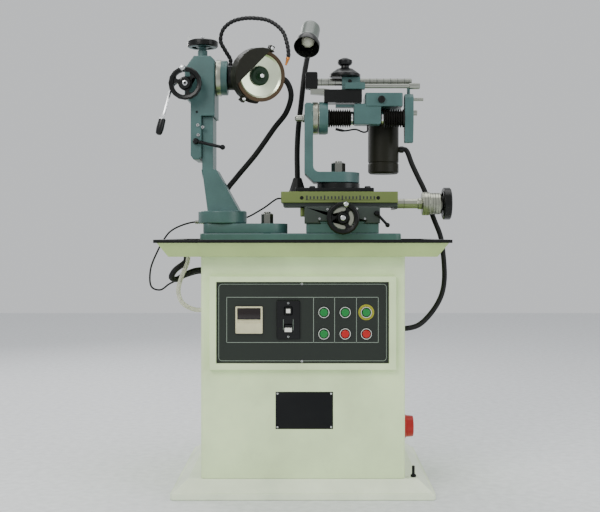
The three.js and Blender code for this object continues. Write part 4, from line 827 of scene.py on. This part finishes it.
# cross slide, saddle and table
def ticksGroup():
    # a node group that sets marks of one size along a line, seeded for their small change of length
    group = bpy.data.node_groups.new("ruleTicks", "GeometryNodeTree")
    face = group.interface
    face.new_socket("Geometry", in_out="INPUT", socket_type="NodeSocketGeometry")
    face.new_socket("Geometry", in_out="OUTPUT", socket_type="NodeSocketGeometry")
    given = {}
    for name, kind in (("Start", "NodeSocketVector"), ("Step", "NodeSocketVector"), ("Count", "NodeSocketInt"),
                       ("Size", "NodeSocketVector"), ("Seed", "NodeSocketInt"), ("Finish", "NodeSocketMaterial")):
        given[name] = face.new_socket(name, in_out="INPUT", socket_type=kind).identifier
    kinds = {"given": "NodeGroupInput", "line": "GeometryNodeMeshLine", "mark": "GeometryNodeMeshCube",
             "chance": "FunctionNodeRandomValue", "place": "GeometryNodeInstanceOnPoints",
             "real": "GeometryNodeRealizeInstances", "finish": "GeometryNodeSetMaterial", "end": "NodeGroupOutput"}
    made = {label: group.nodes.new(kind) for label, kind in kinds.items()}
    made["line"].mode = "OFFSET"
    made["chance"].data_type = "FLOAT"
    made["chance"].inputs[2].default_value = 0.96
    made["chance"].inputs[3].default_value = 1.04
    for source, output, target, socket in (
            ("given", "Count", "line", "Count"), ("given", "Start", "line", "Start Location"),
            ("given", "Step", "line", "Offset"), ("given", "Size", "mark", "Size"), ("given", "Seed", "chance", "Seed"),
            ("line", "Mesh", "place", "Points"), ("mark", "Mesh", "place", "Instance"), ("chance", 1, "place", "Scale"),
            ("place", "Instances", "real", "Geometry"), ("real", "Geometry", "finish", "Geometry"),
            ("given", "Finish", "finish", "Material"), ("finish", "Geometry", "end", 0)):
        group.links.new(made[source].outputs[output], made[target].inputs[socket])
    return group, given


tickNodes, tickInputs = ticksGroup()


def tickRow(name, row, finish, body):
    # a row of marks made by the node group and kept as a plain mesh
    holder = bpy.data.objects.new(name + "Nodes", bpy.data.meshes.new(name + "Empty"))
    scene.collection.objects.link(holder)
    modifier = holder.modifiers.new("ticks", "NODES")
    modifier.node_group = tickNodes
    values = {"Count": row["count"], "Seed": row["seed"], "Finish": finish}
    for key in ("Start", "Step", "Size"):
        values[key] = [v * mm for v in row[key.lower()]]
    for key, value in values.items():
        modifier[tickInputs[key]] = value
    bpy.context.view_layer.update()
    mesh = bpy.data.meshes.new_from_object(holder.evaluated_get(bpy.context.evaluated_depsgraph_get()))
    bpy.data.objects.remove(holder)
    piece = bpy.data.objects.new(name, mesh)
    scene.collection.objects.link(piece)
    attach(piece, body)


ruleRow = {"start": (10, -100.1, 801.5), "step": (10, 0, 0), "count": 20, "size": (4.2, 0.5, 8), "seed": 3}
longRow = {"start": (10, -100.15, 801.5), "step": (50, 0, 0), "count": 4, "size": (4.2, 0.5, 12), "seed": 5}
ruleEdge = {"left": 6, "right": 204, "z": 795, "width": 1.2}
# rings are given by radius, start and width, from the low end of the drum or the sleeve
drumRings = {"y": -20, "z": 787, "drum": 342.3, "sleeve": 268, "proud": 0.12, "deep": 0.5,
             "drumLines": [(34, 6, 0.9), (34, 15.5, 0.9), (31, 30, 0.9), (31, 37, 1.4), (31, 46, 0.9)],
             "sleeveLines": [(14.5, 22, 1.2)]}
tableScrews = {"places": [(-4.5, 801), (211, 801)], "radius": 5.2, "head": 1.4}
saddleScrews = {"places": [(67.7, 768.5), (45.7, 742), (72.5, 745), (173, 742), (151, 770)], "radius": 3.2, "head": 2}
# where one finish gives way to another
borders = {"saddleX": 2, "saddleZ": 740, "shaftX": 268, "tableLow": 787.5, "plateFront": -60, "plateX": 104,
           "plateHalf": 60}
tableFront = -100


def ringsInto(name, rings, low, body):
    # dark rings turned into the table screw
    shape = bmesh.new()
    for radius, offset, width in rings:
        bandInto(shape, along("x", (low + offset, drumRings["y"], drumRings["z"])), radius - drumRings["deep"],
                 radius + drumRings["proud"], 0, width, 64)
    finished(name, shape, inkDark, body, flip=True)


def tablePaint(at):
    if at[0] > borders["shaftX"]:
        return 1
    return 2 if at[2] < borders["tableLow"] else 0


ringsInto("drumRings", drumRings["drumLines"], drumRings["drum"], nodes["table_wheel"]["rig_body"])
ringsInto("sleeveRing", drumRings["sleeveLines"], drumRings["sleeve"], "table_body")
softened("cross_slide_base", castingPaint, 1.4, 3, inner=False)
softened("saddle", [saddleDark, khakiGround], 1.4, 3, inner=False,
         paint=lambda at: at[0] < borders["saddleX"] and at[2] > borders["saddleZ"])
softened("table", [khakiGround, dialSteel, saddleDark], 0.8, 2, paint=tablePaint)
plateTop = boxOf("swivel_plate")[1][2] - 1
softened("swivel_plate", [blackEnamel, groundSteel], 0.8, 2,
         paint=lambda at: at[1] < borders["plateFront"] and at[2] > plateTop
         and abs(at[0] - borders["plateX"]) > borders["plateHalf"])
tickRow("tableTicks", ruleRow, inkDark, "table_body")
tickRow("tableLongTicks", longRow, inkDark, "table_body")
shape = bmesh.new()
boltsInto(shape, tableScrews["places"], tableFront, tableScrews["radius"], tableScrews["head"], (0, 0))
ruleHalf = ruleEdge["width"] / 2
boxInto(shape, ruleEdge["left"], ruleEdge["right"], tableFront - 0.3, tableFront + 0.1, ruleEdge["z"] - ruleHalf,
        ruleEdge["z"] + ruleHalf)
finished("tableScrews", shape, blackEnamel, "table_body")
screwPiece("saddleScrews", saddleScrews["places"], boxOf("saddle")[0][1] - 0.2, saddleScrews["radius"],
           saddleScrews["head"], "saddle_body")

# blade holder
armAxis = {"y": -20, "z": 1034}
bracketDial = {"x": 28.4, "radius": 49}


# the arm's finishes: casting hub with a pale scale ring, bright shaft and link, black clamp and housing. Each line
# has the finish's number and the range of x, of the height over the axis and of the distance from it; the first
# line that fits a face counts, and the rest is bright
anywhere = (-math.inf, math.inf)
armFinishes = [(2, (-math.inf, 42), (80, math.inf), anywhere),
               (1, (-math.inf, 59), (62, 88), anywhere),
               (1, (-math.inf, 100), (80.5, 88), anywhere),
               (2, (-math.inf, 100), (62, 88), anywhere),
               (3, (42, 54), anywhere, (40, 50)),
               (0, (42, 73), anywhere, (-1, 50)),
               (1, anywhere, (88, math.inf), anywhere),
               (2, (60, 170), (40, math.inf), anywhere),
               (0, (291, 318), anywhere, (14, math.inf))]


def armPaint(at):
    high = at[2] - armAxis["z"]
    values = (at[0], high, math.hypot(at[1] - armAxis["y"], high))
    for finish, *ranges in armFinishes:
        if all(low < value < top for value, (low, top) in zip(values, ranges)):
            return finish
    return 1


# rings cut round the graduated bar, and a finer row of marks along its front
barMarks = {"radius": 10.5, "z": 1139, "rings": [52, 72, 92, 192, 212, 232, 252, 272, 292], "width": 1.1}
barRow = {"start": (50, -30.5, 1140), "step": (4, 0, 0), "count": 65, "size": (0.7, 0.5, 6), "seed": 9}
boss = {"x": 224, "z": 1085, "radius": 12, "front": -48.6}
# the carriage's end face, drawn back a little from the boot behind it
carriageEnd = {"from": 285.8, "back": 0.3}
sliderEnd = {"x": 180, "front": -40}
softened("bracket", [castingPaint, dialSteel], 1.6, 3,
         paint=lambda at: at[0] > bracketDial["x"]
         and math.hypot(at[1] - armAxis["y"], at[2] - armAxis["z"]) < bracketDial["radius"])
softened("tilt_arm", [castingPaint, barSteel, blackEnamel, dialSteel], 0.7, 2, paint=armPaint)
carriage = softened("carriage", [castingPaint, blackEnamel], 1.2, 3,
                    paint=lambda at: at[1] < boss["front"]
                    and math.hypot(at[0] - boss["x"], at[2] - boss["z"]) < boss["radius"])
for vertex in carriage.data.vertices:
    if vertex.co.x > carriageEnd["from"] * mm:
        vertex.co.x -= carriageEnd["back"] * mm
shape = bmesh.new()
outer, width = barMarks["radius"] + 0.12, barMarks["width"]
for x in barMarks["rings"]:
    bandInto(shape, along("x", (x - width / 2, armAxis["y"], barMarks["z"])), outer - 0.6, outer, 0, width, 40)
finished("barRings", shape, inkDark, "arm", flip=True)
tickRow("barTicks", barRow, inkDark, "arm")
softened("carriage_motor", guardPaint, 0.8)
softened("slider_block", [castingPaint, barSteel], 0.8, 2,
         paint=lambda at: at[0] > sliderEnd["x"] and at[1] < sliderEnd["front"])
shape = bmesh.new()
boltsInto(shape, [(134, 1139)], -38, 5.5, 1.2, (0, 0))
finished("sliderScrew", shape, blackEnamel, "slider")
softened("thumb_knob", plasticBlack, 0.5)
bootSizes = {"neck": 19, "neckLength": 9, "flange": 5, "bore": 12, "fold": 7, "ring": 20.4, "ringWidth": 4.4}
# one fold: the radius it starts from, what is added to that, and the share of the pitch
foldShape = [("valley", 0.6, 0.1), ("valley", 0, 0.22), ("valley", 0.6, 0.34),
             ("crest", -0.8, 0.64), ("crest", 0, 0.75), ("crest", -0.8, 0.86)]


def bellowsPiece(name, node, folds, flip):
    # a rubber boot folded round the slide shaft, lying between the arm and the carriage on no body
    low, high = boxOf(node)
    length = high[0] - low[0]
    outer = (high[2] - low[2]) / 2
    radii = {"valley": outer - bootSizes["fold"], "crest": outer}
    neck, bore, flange, ring = [bootSizes[key] for key in ("neckLength", "bore", "flange", "ring")]
    pitch = (length - flange - neck) / folds
    stations = [(bore, 0), (outer - 1.5, 0), (outer - 1, 0.8), (outer - 1, flange - 0.8), (outer - 2.5, flange - 0.2)]
    for i in range(folds):
        stations += [(radii[part] + more, flange + pitch * i + pitch * share) for part, more, share in foldShape]
    stations += [(bootSizes["neck"], length - neck + 1), (bootSizes["neck"], length), (bore, length)]
    middle = (low[2] + high[2]) / 2
    ends = (high[0], low[0]) if flip else (low[0], high[0])
    matrix = along("x", (ends[0], armAxis["y"], middle))
    if flip:
        matrix = matrix @ Matrix.Rotation(math.pi, 4, "X")
    shape = bmesh.new()
    turnInto(shape, stations, matrix, 80, closed=True)
    piece = finished(name, shape, bellowsBlack, None, (node,), angle=60, flip=True)
    ends[0] * mm
    middle * mm
    ends[1] * mm
    middle * mm
    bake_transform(piece)
    near, wide = length - neck / 2, bootSizes["ringWidth"] / 2
    shape = bmesh.new()
    bandInto(shape, matrix, ring - 1.2, ring, near - wide, near + wide, 64)
    boxInto(shape, -3, 3, -ring - 4, -ring + 0.6, near - wide, near + wide, matrix, 0, 0.5)
    finished(name + "Clip", shape, polishedChrome, "carriage_body", flip=True)


# a thin bent rod under the carriage
latchLine = {"radius": 2.4, "grip": 3.8, "gripFrom": 0.82, "route": [
    (184, -46, 1012), (183, -48, 994), (172, -50, 991), (150, -50, 999), (118, -50, 995), (92, -50, 1000)]}
bellowsPiece("leftBoot", "bellows_left", 9, False)
bellowsPiece("rightBoot", "bellows_right", 8, True)
shape = bmesh.new()
sweep(shape, centreLine(latchLine["route"]), lambda t: latchLine["grip" if t > latchLine["gripFrom"] else "radius"])
finished("carriageLatch", shape, blackSteel, "carriage_body", angle=50)
print("slides and blade holder made")

# lamp
lampAt = {"cap": (22, 8, 1305), "aim": (-15, -80, -84), "switch": (20, 28, 27, 64, 1270, 1284),
          "profile": [(9, -12), (10.4, -12), (11, -11.4), (11, -2), (19, -0.4), (24, 3), (27, 8), (28, 14), (28, 60),
                      (29, 66), (31, 72), (37, 86), (37, 101), (36, 102), (34.6, 102), (34, 101), (34, 88), (28, 74),
                      (25, 61), (25, 15), (21, 9), (9, 4)],
          "marks": [1] * 4 + [0] * 6 + [2] * 11 + [1]}
softened("lamp_neck", hoseBlack, 0.4)
shape = bmesh.new()
# the bell has a bright cap, lamp paint outside and a black flared rim; its inside is painted black as painted shade
turnInto(shape, lampAt["profile"], aimed(lampAt["aim"], lampAt["cap"]), 96, closed=True, marks=lampAt["marks"])
boxInto(shape, *lampAt["switch"], None, 2, 1)
finished("lampBell", shape, [lampPaint, polishedChrome, blackEnamel], "lamp_head", ("lamp_shade",),
         angle=30, flip=True)
softened("lamp_bulb", frostedGlass, 0)
print("lamp made")

# panel
panelSizes = {"border": 1.3, "inset": 6, "corner": 9, "screw": {"x": -3, "radius": 3.4, "head": 1.6},
              "line": (-0.25, 0.2), "step": 4, "rim": 5.5}
panelGrid = {"left": -202.5, "right": 200, "low": 411, "high": 531, "columns": (28, 84, 142), "width": 1.3}
plateSizes = {"y": -257, "left": -73, "right": 80, "low": 180, "high": 279, "rivets": 5}
# buttons under the row border are red beyond the first column; the last one above it has a yellow ring
buttonGrid = {"row": 462.5, "redFrom": 84, "ringFrom": 140, "ring": 15.6, "yellowRing": 21}
lineGrey = mouldedPlastic("lineGrey", "8a988a", 0.5)
meterCream = mouldedPlastic("meterCream", "cfcba6", 0.4)
displayDark = mouldedPlastic("displayDark", "160c09", 0.12)
panelLow, panelHigh = boxOf("panel_plate")
panelFront = panelHigh[1] - panelSizes["step"]
softened("panel_plate", [slatePaint, blackEnamel], 0.4, 2,
         paint=lambda at: at[1] < panelHigh[1] - panelSizes["rim"])


def panelLines():
    half = panelGrid["width"] / 2
    left, right, low, high = [panelGrid[key] for key in ("left", "right", "low", "high")]
    lines = [(left, right, z, z) for z in (low, high)]
    lines += [(x, x, low, high) for x in (left, *panelGrid["columns"], right)]
    back, top = panelSizes["line"]
    shape = bmesh.new()
    for x0, x1, z0, z1 in lines:
        boxInto(shape, x0 - half, x1 + half, panelFront + back, panelFront + top, z0 - half, z1 + half)
    finished("panelLines", shape, lineGrey, "stand")


def panelBorder():
    # a thin line with round corners near the panel's edge
    inset, half, (back, top) = panelSizes["inset"], panelSizes["border"] / 2, panelSizes["line"]
    x0, x1, z0, z1 = panelLow[0] + inset, panelHigh[0] - inset, panelLow[2] + inset, panelHigh[2] - inset
    shape = bmesh.new()
    loops = []
    for out, rise in ((half, top), (half, back), (-half, back), (-half, top)):
        line = roundedFrame(x0 - out, x1 + out, z0 - out, z1 + out, panelSizes["corner"] + out, 8)
        loops.append([shape.verts.new(Vector((x, panelFront + rise, z)) * mm) for x, z in line])
    for a, b in zip(loops, loops[1:] + loops[:1]):
        for i in range(len(a)):
            shape.faces.new((a[i - 1], a[i], b[i], b[i - 1]))
    finished("panelBorder", shape, lineGrey, "stand", flip=True)


def buttonDressed(number):
    nodeName = "push_button_%d" % number
    low, high = boxOf(nodeName)
    x, z = (low[0] + high[0]) / 2, (low[2] + high[2]) / 2
    red = z < buttonGrid["row"] and x > buttonGrid["redFrom"]
    yellow = z > buttonGrid["row"] and x > buttonGrid["ringFrom"]
    softened(nodeName, plasticRed if red else plasticGreen, 0.8, 3)
    ring = buttonGrid["yellowRing" if yellow else "ring"]
    foot = ring if yellow else ring - 0.4
    rise = panelFront - panelLow[1]
    matrix = frontward((x, panelFront, z))
    shape = bmesh.new()
    turnInto(shape, [(14.9, -0.2), (foot, -0.2), (ring, 0.5), (ring - 0.6, 1.2), (14.9, 1.2)], matrix, 64, closed=True)
    rim = [(12.9, -0.6), (14.4, -0.6), (14.4, 0.3), (13.9, 0.6), (13.4, 0.6), (12.9, 0.3)]
    turnInto(shape, [(radius, rise + more) for radius, more in rim], matrix, 64, closed=True, marks=(1,))
    finished("buttonRing%d" % number, shape, [plasticYellow if yellow else blackEnamel, whiteTrimAndGlint], "stand", flip=True)


def dataPlate():
    # a blank black plate held by four rivets
    left, right, low, high = [plateSizes[key] for key in ("left", "right", "low", "high")]
    face, rivets = plateSizes["y"], plateSizes["rivets"]
    shape = bmesh.new()
    boxInto(shape, left, right, face - 0.9, face + 0.3, low, high, bevel=0.3)
    for x in (left + rivets, right - rivets):
        for z in (low + rivets, high - rivets):
            turnInto(shape, [(2.6, 0.5), (2.6, 1.2), (1.8, 2), (0, 2.3)], frontward((x, face, z)), 24, marks=(1,))
    finished("dataPlate", shape, [blackSteel, groundSteel], "stand")


def meterDressed():
    # a meter with a dark window in a black frame
    low, high = boxOf("panel_meter")
    softened("panel_meter", meterCream, 1, 3)
    shape = bmesh.new()
    for inset, top, below, mark, bevel in ((5, 4, 0.7, 0, 0.5), (7, 6, 0.9, 1, 0.2)):
        boxInto(shape, low[0] + inset, high[0] - inset, low[1] - below, low[1] + 1, high[2] - 38 + top, high[2] - top,
                None, mark, bevel)
    finished("meterWindow", shape, [plasticBlack, displayDark], "stand")


breakerKeys = {"breaker_on": {"body": "breaker_on_body", "cap": "breakerOnCap", "width": 11, "drop": 0},
               "breaker_off": {"body": "breaker_off_body", "cap": "breakerOffCap", "width": 19, "drop": 4}}
breakerTrim = {"screws": 7, "side": 18, "low": 24, "high": 50}


def breakerDressed():
    softened("breaker_body", plasticBlack, 1.4, 3)
    for key, cap in breakerKeys.items():
        softened(key, plasticBlack, 0.6)
        low, high = boxOf(key)
        x, z = (low[0] + high[0]) / 2, (low[2] + high[2]) / 2 - cap["drop"]
        shape = bmesh.new()
        boxInto(shape, x - cap["width"] / 2, x + cap["width"] / 2, low[1] - 0.6, low[1] + 0.6, z - 5.5, z + 5.5,
                bevel=0.4)
        finished(cap["cap"], shape, plasticWhite, cap["body"])
    low, high = boxOf("breaker_body")
    middle, side, screws = (low[0] + high[0]) / 2, breakerTrim["side"], breakerTrim["screws"]
    shape = bmesh.new()
    boltsInto(shape, [(middle, low[2] + screws), (middle, high[2] - screws)], low[1], 3, 0.8)
    for x in (low[0] + side, high[0] - side):
        boxInto(shape, x - 0.5, x + 0.5, low[1] - 0.5, low[1] + 0.5, low[2] + breakerTrim["low"],
                high[2] - breakerTrim["high"], None, 2)
    finished("breakerTrim", shape, [groundSteel, blackEnamel, lineGrey], "stand")


panelLines()
panelBorder()
screw = panelSizes["screw"]
screwPiece("panelScrews", [(screw["x"], panelLow[2] + 5), (screw["x"], panelHigh[2] - 5)], panelFront, screw["radius"],
           screw["head"], "stand")
for number in range(1, 7):
    buttonDressed(number)
dataPlate()
meterDressed()
breakerDressed()
softened("power_inlet", plasticRed, 0.8, 3)
softened("coolant_tank", slatePaint, 1)
softened("coolant_pump", castingPaint, 0.8)
softened("electrics_plate", groundSteel, 0.6)
print("panel made")

# floor
floorMesh = bpy.data.meshes.new("paleFloor")
floorMesh.from_pydata([(-6, -4, 0), (6, -4, 0), (6, 6, 0), (-6, 6, 0)], [], [(0, 1, 2, 3)])
paleFloor = bpy.data.objects.new("paleFloor", floorMesh)
scene.collection.objects.link(paleFloor)
floorMesh.materials.append(mouldedPlastic("floorPaint", "e6e8ea", 0.6, 0.02))
